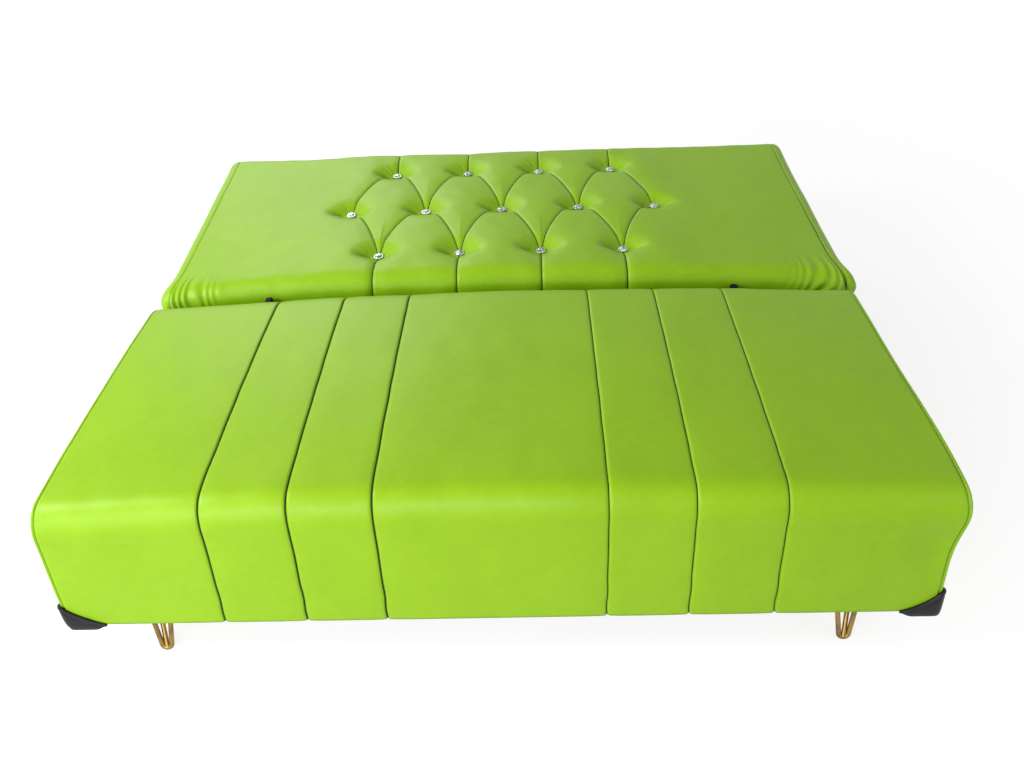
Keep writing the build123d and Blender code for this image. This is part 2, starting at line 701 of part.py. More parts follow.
def hairpin_leg(leg_y, lean):
    """A leg on the right: a bent rod and a third rod welded to a plate, its tip leaning out."""
    face = UNDERSIDE - LEG_PLATE_THICK
    spread = LEG_ROD_SPREAD / 2
    outer_y = leg_y + lean * spread
    tip_y = leg_y + lean * (spread + LEG_TIP_REACH)
    slant = math.hypot(face, tip_y - outer_y)
    upward = Vector(0, outer_y - tip_y, face).normalized()
    frame = Plane(origin=(LEG_PLACE, tip_y, 0), x_dir=(1, 0, 0), z_dir=Vector(1, 0, 0).cross(upward))
    middle = LEG_TIP_RADIUS + LEG_ROD / 2 - LEG_TIP_FLAT
    toward = math.atan2(slant - middle, spread)
    opening = math.acos(LEG_TIP_RADIUS / math.hypot(slant - middle, spread))
    touch = toward - opening
    touch_x = LEG_TIP_RADIUS * math.cos(touch)
    touch_y = middle + LEG_TIP_RADIUS * math.sin(touch)
    with BuildLine(frame) as bend:
        Line((spread, slant), (touch_x, touch_y))
        ThreePointArc((touch_x, touch_y), (0, middle - LEG_TIP_RADIUS), (-touch_x, touch_y))
        Line((-touch_x, touch_y), (-spread, slant))
    bent_rod = rod(bend.line)
    weld = frame.from_local_coords(Vector(0, middle - LEG_TIP_RADIUS + LEG_ROD / 4, 0))
    with BuildLine() as brace:
        Line((LEG_PLACE + spread, leg_y - lean * spread, face), weld)
    third_rod = rod(brace.line)
    below = block(
        LEG_PLACE - LEG_PLATE, LEG_PLACE + LEG_PLATE,
        leg_y - 2 * LEG_PLATE, leg_y + 2 * LEG_PLATE, -CUT_OVERRUN, 0,
    )
    with BuildPart() as leg:
        with BuildSketch(Plane.XY.offset(face)):
            with Locations((LEG_PLACE, leg_y)):
                RectangleRounded(LEG_PLATE, LEG_PLATE, LEG_PLATE_CORNER)
            with Locations(leg_screw_places(leg_y)):
                Circle(SCREW_SHANK / 2 + SCREW_CLEARANCE, mode=Mode.SUBTRACT)
        extrude(amount=LEG_PLATE_THICK)
        add(bent_rod)
        add(third_rod)
        add(below, mode=Mode.SUBTRACT)
    return leg.part


keep_pair(hairpin_leg(FRONT_LEG_Y, -1), "seat_leg_front")
keep_pair(hairpin_leg(REAR_LEG_Y, 1), "seat_leg_rear")
keep_pair(hairpin_leg(BACK_LEG_Y, 1), "back_leg")


# Back cover, foam and cloth

back_outside = tufted_form(0, UNDERSIDE)
back_inside = tufted_form(LEATHER, FRAME_BASE)
back_window = window(BACK_NEAR, BACK_FAR, UNDERSIDE - CUT_OVERRUN, FRAME_BASE + CUT_OVERRUN)


def tie_holes(bottom, top):
    """The thin vertical holes that the tuft ties run through."""
    with BuildPart() as holes:
        with BuildSketch(Plane.XY.offset(bottom)):
            with Locations(TUFTS):
                Circle(TIE / 2 + TIE_CLEARANCE)
        extrude(amount=top - bottom)
    return holes.part


TIE_HOLES = tie_holes(RAIL_TOP, BACK_HEIGHT + BACK_CROWN)

with BuildPart() as back_cover:
    add(back_outside)
    add(back_inside, mode=Mode.SUBTRACT)
    add(back_window, mode=Mode.SUBTRACT)
    add(BACK_SLOTS, mode=Mode.SUBTRACT)
    add(TIE_HOLES, mode=Mode.SUBTRACT)
keep(back_cover.part, "back_cover")

back_padding = tufted_form(LEATHER + SOFT_GAP, FRAME_BASE)
back_frame_space = block(
    -FRAME_HALF, FRAME_HALF, BACK_FRAME_NEAR, BACK_FRAME_FAR, FRAME_BASE - CUT_OVERRUN, DECK_TOP
)
with BuildPart() as back_foam:
    add(back_padding)
    add(back_frame_space, mode=Mode.SUBTRACT)
    add(BACK_SLOTS, mode=Mode.SUBTRACT)
    add(TIE_HOLES, mode=Mode.SUBTRACT)
keep(back_foam.part, "back_foam")
keep(underside_cloth(BACK_NEAR, BACK_FAR, BACK_SCREWS), "back_rear_cloth")


# Back frame

back_inner_near = BACK_FRAME_NEAR + BOARD
back_inner_far = BACK_FRAME_FAR - BOARD
back_near_board = cross_rail(BACK_FRAME_NEAR, back_inner_near)
with BuildPart() as back_near_rail:
    add(back_near_board)
    add(BACK_SLOTS, mode=Mode.SUBTRACT)
keep(back_near_rail.part, "back_near_rail")
keep(cross_rail(back_inner_far, BACK_FRAME_FAR), "back_far_rail")
back_side_rail = block(
    FRAME_HALF - BOARD, FRAME_HALF, back_inner_near, back_inner_far, FRAME_BASE, RAIL_TOP
)
keep_pair(back_side_rail, "back_side_rail")
keep_pair(hinge_joist(BACK_JOIST_FACE, back_inner_near, back_inner_far, BACK_BOLTS), "back_joist")
back_inner_joist = block(
    BACK_INNER_JOIST_PLACE - BOARD / 2, BACK_INNER_JOIST_PLACE + BOARD / 2,
    back_inner_near, back_inner_far, FRAME_BASE, RAIL_TOP,
)
keep_pair(back_inner_joist, "back_inner_joist")
leg_board_near = BACK_LEG_Y - LEG_PLATE
keep_pair(leg_board(leg_board_near, back_inner_far, BACK_SCREWS), "back_leg_board")

back_deck_plain = block(
    -FRAME_HALF, FRAME_HALF, BACK_FRAME_NEAR, BACK_FRAME_FAR, RAIL_TOP, DECK_TOP
)
with BuildPart() as back_deck:
    add(back_deck_plain)
    add(TIE_HOLES, mode=Mode.SUBTRACT)
keep(back_deck.part, "back_deck")


# Tuft buttons


def button_rim():
    """A cup with a thick wall that holds the crystal."""
    with BuildPart() as rim:
        with BuildSketch():
            Circle(BUTTON_RIM)
        extrude(amount=BUTTON_RIM_HEIGHT)
        with BuildSketch(Plane.XY.offset(BUTTON_RIM_FLOOR)):
            Circle(BUTTON_RIM - BUTTON_RIM_WALL)
        extrude(amount=BUTTON_RIM_HEIGHT, mode=Mode.SUBTRACT)
        fillet(rim.edges().group_by(Axis.Z)[-1].sort_by(SortBy.RADIUS)[-1], BUTTON_RIM_WALL / 2)
    return rim.part


def button_crystal():
    """A faceted stone: a straight girdle under a tapered crown with a flat table."""
    with BuildPart() as stone:
        with BuildSketch(Plane.XY.offset(BUTTON_RIM_FLOOR)):
            RegularPolygon(CRYSTAL_RADIUS, CRYSTAL_SIDES)
        extrude(amount=CRYSTAL_GIRDLE)
        with BuildSketch(Plane.XY.offset(BUTTON_RIM_FLOOR + CRYSTAL_GIRDLE)):
            RegularPolygon(CRYSTAL_RADIUS, CRYSTAL_SIDES)
        with BuildSketch(Plane.XY.offset(BUTTON_RIM_FLOOR + CRYSTAL_GIRDLE + CRYSTAL_CROWN)):
            RegularPolygon(CRYSTAL_RADIUS * CRYSTAL_TABLE_SHARE, CRYSTAL_SIDES)
        loft(ruled=True)
    return stone.part


BUTTON_SEATS = [(x, y, dimple_floor(x, y)) for x, y in TUFTS]
RIM = button_rim()
CRYSTAL = button_crystal()

with BuildPart() as button_rims:
    with Locations(BUTTON_SEATS):
        add(RIM)
keep(button_rims.part, "button_rims")

with BuildPart() as button_crystals:
    with Locations(BUTTON_SEATS):
        add(CRYSTAL)
keep(button_crystals.part, "button_crystals")

with BuildPart() as button_ties:
    for x, y, seat in BUTTON_SEATS:
        with BuildSketch(Plane.XY.offset(RAIL_TOP)):
            with Locations((x, y)):
                Circle(TIE / 2)
        extrude(amount=seat - RAIL_TOP)
        with BuildSketch(Plane.XY.offset(RAIL_TOP)):
            with Locations((x, y)):
                Circle(TOGGLE_RADIUS)
        extrude(amount=-TOGGLE_HEIGHT)
keep(button_ties.part, "button_ties")


# Click-clack hinges, made on the right and mirrored to the left


def turned(radius, angle):
    """A place round the hinge pin, as depth and height."""
    bearing = math.radians(angle)
    return (HINGE_Y + radius * math.cos(bearing), HINGE_HEIGHT + radius * math.sin(bearing))


PAWL_TIP = turned(RATCHET_RADIUS, PAWL_ANGLE)
PAWL_PIVOT = (
    PAWL_TIP[0] + PAWL_REACH * math.sin(math.radians(PAWL_ANGLE)),
    PAWL_TIP[1] - PAWL_REACH * math.cos(math.radians(PAWL_ANGLE)),
)
BORE = HINGE_PIN / 2 + HINGE_BORE_GAP
PAWL_BORE = PAWL_PIN / 2 + HINGE_BORE_GAP

seat_bar_height = FRAME_BASE + BAR_LIFT + BAR_WIDTH / 2
seat_web_front = SEAT_REAR - POCKET_DEPTH + BAR_END + POCKET_SIDE_GAP
seat_web_rear = HINGE_Y + HINGE_EYE - BAR_END
with BuildPart() as hinge_seat_arm:
    with BuildSketch(Plane.YZ.offset(HINGE_PLACE)):
        with Locations((HINGE_Y, HINGE_HEIGHT)):
            Circle(HINGE_EYE)
        with Locations(PAWL_PIVOT):
            Circle(PAWL_EYE)
        with Locations((seat_web_front, seat_bar_height), (seat_web_rear, seat_bar_height)):
            Circle(BAR_END)
        make_hull()
        with Locations(((SEAT_BAR_FRONT + seat_web_front) / 2, seat_bar_height)):
            Rectangle(seat_web_front - SEAT_BAR_FRONT, BAR_WIDTH)
        with Locations((HINGE_Y, HINGE_HEIGHT)):
            Circle(BORE, mode=Mode.SUBTRACT)
        with Locations(PAWL_PIVOT):
            Circle(PAWL_BORE, mode=Mode.SUBTRACT)
        with Locations(SEAT_BOLTS):
            Circle(BOLT / 2 + BOLT_CLEARANCE, mode=Mode.SUBTRACT)
    extrude(amount=HINGE_PLATE)
keep_pair(hinge_seat_arm.part, "hinge_seat_arm")

back_bar_height = FRAME_BASE + BACK_BAR_LIFT + BAR_WIDTH / 2
back_bar_rear = BACK_BAR_FRONT + BAR_LENGTH
with BuildPart() as hinge_back_arm:
    with BuildSketch(Plane.YZ.offset(BACK_ARM_LAYER)):
        foot_height = back_bar_height - BAR_WIDTH / 2 + HINGE_EYE
        with Locations((HINGE_Y, HINGE_HEIGHT), (HINGE_Y, foot_height)):
            Circle(HINGE_EYE)
        make_hull()
        with Locations(((HINGE_Y + back_bar_rear) / 2, back_bar_height)):
            Rectangle(back_bar_rear - HINGE_Y, BAR_WIDTH)
        with Locations((HINGE_Y, HINGE_HEIGHT)):
            Circle(BORE, mode=Mode.SUBTRACT)
        with Locations(BACK_BOLTS):
            Circle(BOLT / 2 + BOLT_CLEARANCE, mode=Mode.SUBTRACT)
    extrude(amount=HINGE_PLATE)
keep_pair(hinge_back_arm.part, "hinge_back_arm")

sector_low = PAWL_ANGLE - RATCHET_NOTCH_TURNS[-1] - RATCHET_SPARE_TURN
sector_high = PAWL_ANGLE + RATCHET_SPARE_TURN
with BuildPart() as hinge_ratchet:
    with BuildSketch(Plane.YZ.offset(MIDDLE_LAYER)):
        with BuildLine():
            Line((HINGE_Y, HINGE_HEIGHT), turned(RATCHET_RADIUS, sector_low))
            ThreePointArc(
                turned(RATCHET_RADIUS, sector_low),
                turned(RATCHET_RADIUS, (sector_low + sector_high) / 2),
                turned(RATCHET_RADIUS, sector_high),
            )
            Line(turned(RATCHET_RADIUS, sector_high), (HINGE_Y, HINGE_HEIGHT))
        make_face()
        with Locations((HINGE_Y, HINGE_HEIGHT)):
            Circle(HINGE_EYE)
        for notch_turn in RATCHET_NOTCH_TURNS:
            notch_angle = PAWL_ANGLE - notch_turn
            with Locations((HINGE_Y, HINGE_HEIGHT)):
                with PolarLocations(RATCHET_RADIUS, 1, start_angle=notch_angle):
                    Rectangle(2 * RATCHET_NOTCH_DEPTH, RATCHET_NOTCH_WIDTH, mode=Mode.SUBTRACT)
        with Locations((HINGE_Y, HINGE_HEIGHT)):
            Circle(BORE, mode=Mode.SUBTRACT)
    extrude(amount=HINGE_PLATE + HINGE_SIDE_GAP)
keep_pair(hinge_ratchet.part, "hinge_ratchet")

pin_end = BACK_JOIST_FACE + PIN_HEAD_GAP
with BuildPart() as hinge_pin:
    with BuildSketch(Plane.YZ.offset(HINGE_PLACE - PIN_HEAD_HEIGHT)):
        with Locations((HINGE_Y, HINGE_HEIGHT)):
            Circle(PIN_HEAD / 2)
    extrude(amount=PIN_HEAD_HEIGHT)
    with BuildSketch(Plane.YZ.offset(HINGE_PLACE)):
        with Locations((HINGE_Y, HINGE_HEIGHT)):
            Circle(HINGE_PIN / 2)
    extrude(amount=pin_end - HINGE_PLACE)
    with BuildSketch(Plane.YZ.offset(pin_end)):
        with Locations((HINGE_Y, HINGE_HEIGHT)):
            Circle(PIN_HEAD / 2)
    extrude(amount=PIN_HEAD_HEIGHT)
keep_pair(hinge_pin.part, "hinge_pin")

tip_frame = Plane(
    origin=(MIDDLE_LAYER, PAWL_TIP[0], PAWL_TIP[1]),
    x_dir=(0, PAWL_TIP[0] - PAWL_PIVOT[0], PAWL_TIP[1] - PAWL_PIVOT[1]),
    z_dir=(1, 0, 0),
)
with BuildPart() as hinge_pawl:
    with BuildSketch(tip_frame):
        with Locations((-PAWL_REACH, 0)):
            Circle(PAWL_EYE)
        with BuildLine():
            Polyline(
                (-PAWL_REACH, -PAWL_EYE),
                (-PAWL_REACH, -PAWL_CLEARANCE - PAWL_TOOTH_HEIGHT),
                (-PAWL_TOOTH_WIDTH / 2, -PAWL_CLEARANCE - PAWL_TOOTH_HEIGHT),
                (-PAWL_TOOTH_WIDTH / 2, -PAWL_CLEARANCE),
                (PAWL_TOOTH_WIDTH / 2, -PAWL_CLEARANCE),
                (PAWL_TOOTH_WIDTH / 2, -PAWL_WIDTH),
                close=True,
            )
        make_face()
        with Locations((-PAWL_REACH, 0)):
            Circle(PAWL_BORE, mode=Mode.SUBTRACT)
    extrude(amount=HINGE_PLATE)
keep_pair(hinge_pawl.part, "hinge_pawl")

pawl_pin_end = BACK_ARM_LAYER
with BuildPart() as pawl_pin:
    with BuildSketch(Plane.YZ.offset(HINGE_PLACE - PAWL_PIN_HEAD_HEIGHT)):
        with Locations(PAWL_PIVOT):
            Circle(PAWL_PIN_HEAD / 2)
    extrude(amount=PAWL_PIN_HEAD_HEIGHT)
    with BuildSketch(Plane.YZ.offset(HINGE_PLACE)):
        with Locations(PAWL_PIVOT):
            Circle(PAWL_PIN / 2)
    extrude(amount=pawl_pin_end - HINGE_PLACE)
    with BuildSketch(Plane.YZ.offset(pawl_pin_end)):
        with Locations(PAWL_PIVOT):
            Circle(PAWL_PIN_HEAD / 2)
    extrude(amount=PAWL_PIN_HEAD_HEIGHT)
keep_pair(pawl_pin.part, "pawl_pin")

with BuildPart() as pawl_spring:
    with BuildSketch(tip_frame):
        with BuildLine():
            Polyline(
                (-SPRING_LENGTH, -PAWL_WIDTH - SPRING_GAP - SPRING_FOOT),
                (-SPRING_LENGTH + SPRING_THICK, -PAWL_WIDTH - SPRING_GAP - SPRING_FOOT),
                (-SPRING_LENGTH + SPRING_THICK, -PAWL_WIDTH - SPRING_GAP - SPRING_THICK),
                (0, -PAWL_WIDTH - SPRING_GAP - SPRING_THICK),
                (0, -PAWL_WIDTH - SPRING_GAP),
                (-SPRING_LENGTH, -PAWL_WIDTH - SPRING_GAP),
                close=True,
            )
        make_face()
    extrude(amount=HINGE_PLATE)
keep_pair(pawl_spring.part, "pawl_spring")


def hinge_bolts(places, head_face, head_side, nut_face):
    """Hex bolts through an arm and its joist, with a nut on the far side, on both hinges."""
    reach = nut_face - head_face
    with BuildPart() as bolts:
        for place in places:
            with BuildSketch(Plane.YZ.offset(head_face)):
                with Locations(place):
                    RegularPolygon(BOLT_HEAD, HEX_SIDES)
            extrude(amount=head_side * BOLT_HEAD_HEIGHT)
            with BuildSketch(Plane.YZ.offset(head_face)):
                with Locations(place):
                    Circle(BOLT / 2)
            extrude(amount=reach)
            with BuildSketch(Plane.YZ.offset(nut_face)):
                with Locations(place):
                    RegularPolygon(BOLT_HEAD, HEX_SIDES)
            extrude(amount=-head_side * BOLT_HEAD_HEIGHT)
        mirror(about=Plane.YZ)
    return bolts.part


seat_bolt_head = HINGE_PLACE + HINGE_PLATE
keep(hinge_bolts(SEAT_BOLTS, seat_bolt_head, 1, HINGE_PLACE - BOARD), "hinge_seat_bolts")
keep(hinge_bolts(BACK_BOLTS, BACK_ARM_LAYER, -1, BACK_JOIST_FACE + BOARD), "hinge_back_bolts")
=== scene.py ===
import bpy
import numpy as np
from mathutils import Matrix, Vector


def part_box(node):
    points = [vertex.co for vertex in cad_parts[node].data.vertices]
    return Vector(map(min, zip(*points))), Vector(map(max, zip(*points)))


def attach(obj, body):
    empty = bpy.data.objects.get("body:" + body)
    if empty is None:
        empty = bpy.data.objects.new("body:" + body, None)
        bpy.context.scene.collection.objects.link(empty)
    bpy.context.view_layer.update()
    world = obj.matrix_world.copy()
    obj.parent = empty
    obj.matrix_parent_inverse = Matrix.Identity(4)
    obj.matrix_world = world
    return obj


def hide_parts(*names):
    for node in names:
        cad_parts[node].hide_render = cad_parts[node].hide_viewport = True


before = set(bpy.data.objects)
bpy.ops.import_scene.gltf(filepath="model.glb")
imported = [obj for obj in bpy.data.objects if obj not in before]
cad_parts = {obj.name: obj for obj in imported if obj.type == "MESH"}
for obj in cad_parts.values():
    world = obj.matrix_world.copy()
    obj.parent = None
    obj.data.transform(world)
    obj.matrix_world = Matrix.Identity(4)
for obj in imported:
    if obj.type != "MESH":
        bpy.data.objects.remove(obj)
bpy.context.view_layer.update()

# Sizes of the sofa bed, in metres, the same as in its construction
HALF = 0.915
UNDERSIDE = 0.158
FRAME_BASE = 0.160
FRONT = -0.805
SHOULDER = -0.757
FRONT_FLARE = 0.048
SEAT_REAR = 0.027
SEAT_HEIGHT = 0.446
SEAT_FALL = 0.055
SEAT_CROWN = 0.031
SEAT_TOP_BOW = 0.008
SHOULDER_RUN = 0.057
SHOULDER_RISE = 0.079
SEAT_REAR_ROUND = 0.090
CHANNELS = np.array([-0.576, -0.400, -0.230, 0.230, 0.400, 0.576])
SIDE_BULGE = 0.012
SIDE_DRAW = 0.030
BACK_NEAR = 0.051
BACK_FAR = 0.805
BACK_HEIGHT = 0.370
BACK_CROWN = 0.037
BACK_NEAR_ROUND = 0.055
BACK_FAR_ROUND = 0.037
BACK_SIDE_ROUND = 0.037
LEAST_ROUND = 0.004
TURN_UNDER = 0.045
FOAM_INSET = 0.006
FOAM_SIDE_INSET = 0.014
FOAM_SIDE_FROM = (0.58, 0.615)
SIDE_PADDING = 0.030
END_CROWN = 0.005
END_RINGS = 9
TUFT_PITCH = 0.230
FAR_ROW = 0.673
MIDDLE_ROW = 0.437
NEAR_ROW = 0.201
OUTER_ROW_PLACES = np.array([-0.345, -0.115, 0.115, 0.345])
MIDDLE_ROW_PLACES = np.array([-0.460, -0.230, 0.0, 0.230, 0.460])
DIMPLE_DEPTH = 0.024
DIMPLE_FLOOR = 0.016
DIMPLE_RADIUS = 0.080

# Openings for the hinges: from and to across, in depth and in height
SEAT_SLOTS = (0.617, 0.6316), (-0.019, 0.2), (0.179, 0.372)
BACK_SLOTS = (0.6281, 0.6331), (-1.0, 0.06), (0.2065, 0.2475)

# Underside cloths and their staples
CLOTH_GAP = 0.001
CLOTH_SAG = 0.0022
CLOTH_THICKNESS = 0.0008
STAPLE_INSET = 0.012
STAPLE_SCATTER = 0.0015
STAPLE_TURN = 0.12
STAPLE_HALF_SIZES = np.array([0.0055, 0.0006, 0.0007])

# Button stones, ring by ring from the girdle up
STONE_FACETS = 12
STONE_RADII = np.array([0.0106, 0.0106, 0.0088, 0.0056])
STONE_HEIGHTS = np.array([0.0016, 0.0052, 0.0076, 0.0090])
STONE_SHIFTS = np.array([0.0, 0.0, 0.5, 0.0])
STONE_TABLE_RISE = 0.0004

# Corner caps
CAP_RUN = 0.086
CAP_RISE = 0.100
CAP_SCOOP = 0.125
CAP_THICKNESS = 0.0072
CAP_BEAD = 0.0042
CAP_FLOOR = 0.155
CAP_SKIRT = 0.0085
CAP_EDGE_ROUND = 0.0034
CAP_LIP = 0.028

# How the leatherette lies
CREASE = 0.0042
CREASE_WIDTH = 0.0028
HOLLOW = 0.0009
HOLLOW_WIDTH = 0.022
SIDE_SEAM_PRESS = 0.003
SIDE_SEAM_WIDTH = 0.0022
BACK_SEAM_PRESS = 0.0022
BACK_SEAM_WIDTH = 0.0025
TUFT_CREASE = 0.0048
TUFT_CREASE_WIDTH = 0.0032
TUFT_HOLLOW = 0.0035
TUFT_HOLLOW_WIDTH = 0.026
FAR_EDGE_FLATTENING = 0.65
PILLOW = 0.0035
LEFT_FOLD = 0.0185
RIGHT_FOLD = 0.0095
GATHER = 0.0016
FINE_GATHER = 0.0004
LEFT_PLEATS = 0.0036
RIGHT_PLEATS = 0.0042
SHOULDER_DRAG = 0.0065
CORNER_FOLD = 0.0070
SWELL = 0.0010
SEAT_FINE_SWELL = 0.00035
BACK_FINE_SWELL = 0.0004
LEFT_FULLNESS = 0.011
RIGHT_FULLNESS = 0.005
RIGHT_SHOULDER_FULLNESS = 0.019
LEFT_CORNER_WIDENING = 0.018
RIGHT_CORNER_WIDENING = 0.026
LEFT_CORNER_ADVANCE = 0.010
RIGHT_CORNER_ADVANCE = 0.018
LEFT_CHANNEL_STRETCH = 1.0
RIGHT_CHANNEL_STRETCH = 2.0
SIDE_SEAM_STRETCH = 2.0
SIDE_SEAM_FADING = 0.0014
STRAIGHT_STRETCH = 1.4
DIAMOND_STRETCH = 1.6
SEAT_STEP = 0.014
TUFTED_STEP = 0.0040
TUFTED_HALF = 0.52
PLEATED_STEP = 0.0033
PLEATS_FROM = 0.72
SEAM_OFFSETS = (0, 0.0008, 0.0016, 0.0026, 0.004, 0.006, 0.009, 0.014, 0.022)
SIDE_SEAM = HALF - SIDE_BULGE
BACK_SIDE_SEAM = HALF - BACK_SIDE_ROUND

TUFTS = np.array(
    [(x, FAR_ROW) for x in OUTER_ROW_PLACES]
    + [(x, MIDDLE_ROW) for x in MIDDLE_ROW_PLACES]
    + [(x, NEAR_ROW) for x in OUTER_ROW_PLACES]
)


# Shader values and finishes


class Shade:
    """A shader value. Arithmetic on it adds Math nodes."""

    def __init__(self, finish, socket):
        self.finish = finish
        self.socket = socket

    def __add__(self, other):
        return self.finish.math("ADD", self, other)

    def __sub__(self, other):
        return self.finish.math("SUBTRACT", self, other)

    def __rsub__(self, other):
        return self.finish.math("SUBTRACT", other, self)

    def __mul__(self, other):
        return self.finish.math("MULTIPLY", self, other)

    __radd__ = __add__
    __rmul__ = __mul__


class Finish:
    """A material, or the world, built from nodes."""

    def __init__(self, owner):
        self.owner = owner
        owner.use_nodes = True
        self.tree = owner.node_tree
        self.tree.nodes.clear()

    def node(self, kind, settings=None, inputs=None, output=0):
        """A node of one kind: its settings first, then the values or links of its sockets."""
        made = self.tree.nodes.new(kind)
        for name, value in (settings or {}).items():
            if name == "stops":
                self.set_stops(made.color_ramp, value)
            else:
                setattr(made, name, value)
        for name, value in (inputs or {}).items():
            if isinstance(value, Shade):
                self.tree.links.new(value.socket, made.inputs[name])
            else:
                made.inputs[name].default_value = value
        return Shade(self, made.outputs[output]) if made.outputs else None

    def set_stops(self, ramp, stops):
        """Gives a colour ramp its stops, each a place and a colour."""
        while len(ramp.elements) < len(stops):
            ramp.elements.new(0.5)
        for element, (place, colour) in zip(ramp.elements, stops):
            element.position = place
            element.color = (*colour, 1)

    def math(self, operation, *values):
        return self.node("ShaderNodeMath", {"operation": operation}, dict(enumerate(values)))

    def place(self):
        """Object coordinates."""
        return self.node("ShaderNodeTexCoord", output="Object")

    def stretched(self, scale):
        """Object coordinates stretched along the axes."""
        return self.node("ShaderNodeMapping", {}, {"Vector": self.place(), "Scale": scale})

    def noise(self, scale, detail=2.0, vector=None, distortion=0.0):
        inputs = {"Vector": vector or self.place(), "Scale": scale, "Detail": detail}
        inputs["Distortion"] = distortion
        return self.node("ShaderNodeTexNoise", {}, inputs)

    def cells(self, scale):
        inputs = {"Vector": self.place(), "Scale": scale}
        return self.node("ShaderNodeTexVoronoi", {"feature": "F1"}, inputs)

    def spread(self, value, low, high, start=0.0, end=1.0):
        """The value's run from low to high, eased and mapped from start to end."""
        inputs = {"Value": value, 1: low, 2: high, 3: start, 4: end}
        return self.node("ShaderNodeMapRange", {"interpolation_type": "SMOOTHSTEP"}, inputs)

    def attribute(self, name):
        """A value stored with the mesh."""
        return self.node("ShaderNodeAttribute", {"attribute_name": name}, output="Fac")

    def tint(self, share, first, second):
        """A colour between two others."""
        settings = {"data_type": "RGBA", "blend_type": "MIX"}
        return self.node("ShaderNodeMix", settings, {0: share, 6: first, 7: second}, output=2)

    def ramp(self, share, stops):
        return self.node("ShaderNodeValToRGB", {"stops": stops}, {"Fac": share})

    def bump(self, height, distance, strength=1.0, below=None):
        inputs = {"Height": height, "Distance": distance, "Strength": strength}
        if below is not None:
            inputs["Normal"] = below
        return self.node("ShaderNodeBump", {}, inputs)

    def surface(self, **sockets):
        """The final surface, from its sockets by name with spaces as underscores."""
        inputs = {name.replace("_", " "): value for name, value in sockets.items()}
        shader = self.node("ShaderNodeBsdfPrincipled", {}, inputs)
        self.node("ShaderNodeOutputMaterial", {}, {"Surface": shader})
        return self.owner


def material(name):
    """A new material to build."""
    return Finish(bpy.data.materials.new(name))


def placed(name, data):
    """A new object in the scene, made of the data."""
    made = bpy.data.objects.new(name, data)
    bpy.context.scene.collection.objects.link(made)
    return made


def rgb(red, green, blue):
    """A display colour from 0 to 255 as the shader's linear colour."""
    share = np.array([red, green, blue]) / 255
    linear = np.where(share <= 0.04045, share / 12.92, ((share + 0.055) / 1.055) ** 2.4)
    return (*linear.tolist(), 1.0)


def leatherette():
    """Lime leatherette: pebbled grain, faint mottling, and painted shade darkening each seam and its
    crease.
    """
    finish = material("lime_leatherette")
    pebbles = finish.cells(620.0)
    fine = finish.noise(1500.0, 3.0)
    broad = finish.noise(5.0, 3.0)
    blotch = finish.noise(55.0, 4.0)
    mottled = finish.tint(finish.spread(blotch, 0.3, 0.7), rgb(145, 192, 11), rgb(149, 197, 13))
    worn = finish.tint(finish.spread(broad, 0.35, 0.65) * 0.4, mottled, rgb(156, 203, 22))
    grainy = finish.tint(finish.spread(pebbles, 0.2, 0.75) * 0.10, worn, rgb(112, 152, 14))
    apart = finish.math("ABSOLUTE", finish.attribute("seam"))
    # Painted shade: a near-black line on each seam and a broader darkening across its crease, where the
    # groove would lie in shadow.
    line = finish.spread(apart, 0.0006, 0.0029, 1.0, 0.0)
    painted_crease_shade = finish.spread(apart, 0.001, 0.009, 1.0, 0.0)
    shaded = finish.tint(painted_crease_shade * 0.16, grainy, rgb(84, 122, 10))
    colour = finish.tint(line * 0.98, shaded, rgb(8, 30, 5))
    grain = finish.bump(finish.spread(pebbles, 0.0, 0.6), 0.00022, 0.35)
    pored = finish.bump(fine, 0.00012, 0.25, grain)
    creased = finish.bump(1 - line, 0.0010, 0.7, pored)
    rough = finish.spread(blotch, 0.25, 0.75, 0.42, 0.45) + line * 0.3
    return finish.surface(Base_Color=colour, Roughness=rough, Normal=creased, Specular_IOR_Level=0.34)


def upholstery_foam():
    """Cream foam: small open cells."""
    finish = material("foam_block")
    cells = finish.cells(330.0)
    colour = finish.tint(finish.spread(cells, 0.1, 0.7), rgb(226, 208, 150), rgb(247, 236, 198))
    normal = finish.bump(cells, 0.0012, 0.8)
    return finish.surface(Base_Color=colour, Roughness=0.95, Normal=normal)


def black_cloth():
    """Thin black underside cloth: pressed fibres with a quilted dot pattern."""
    finish = material("black_underside_cloth")
    fibres = finish.noise(420.0, 4.0, finish.stretched((1.0, 0.35, 1.0)), 0.6)
    dots = finish.cells(260.0)
    colour = finish.tint(finish.spread(fibres, 0.3, 0.7), rgb(18, 18, 20), rgb(44, 44, 47))
    height = fibres * 0.6 + finish.spread(dots, 0.05, 0.35) * 0.4
    return finish.surface(Base_Color=colour, Roughness=0.9, Normal=finish.bump(height, 0.0006, 0.7))


def timber(name, pale, dark, along):
    """Sawn wood: wandering growth lines that run along the board, with pores."""
    finish = material(name)
    scale = (1.0, 9.0, 9.0) if along == "x" else (9.0, 1.0, 9.0)
    bands = finish.noise(7.0, 4.0, finish.stretched(scale), 1.6)
    pores = finish.noise(90.0, 5.0, finish.stretched(scale))
    toned = finish.ramp(bands, [(0.3, dark[:3]), (0.5, pale[:3]), (0.7, dark[:3])])
    colour = finish.tint(finish.spread(pores, 0.55, 0.8) * 0.5, toned, dark)
    normal = finish.bump(pores + bands * 0.5, 0.0006, 0.5)
    return finish.surface(Base_Color=colour, Roughness=0.72, Normal=normal)


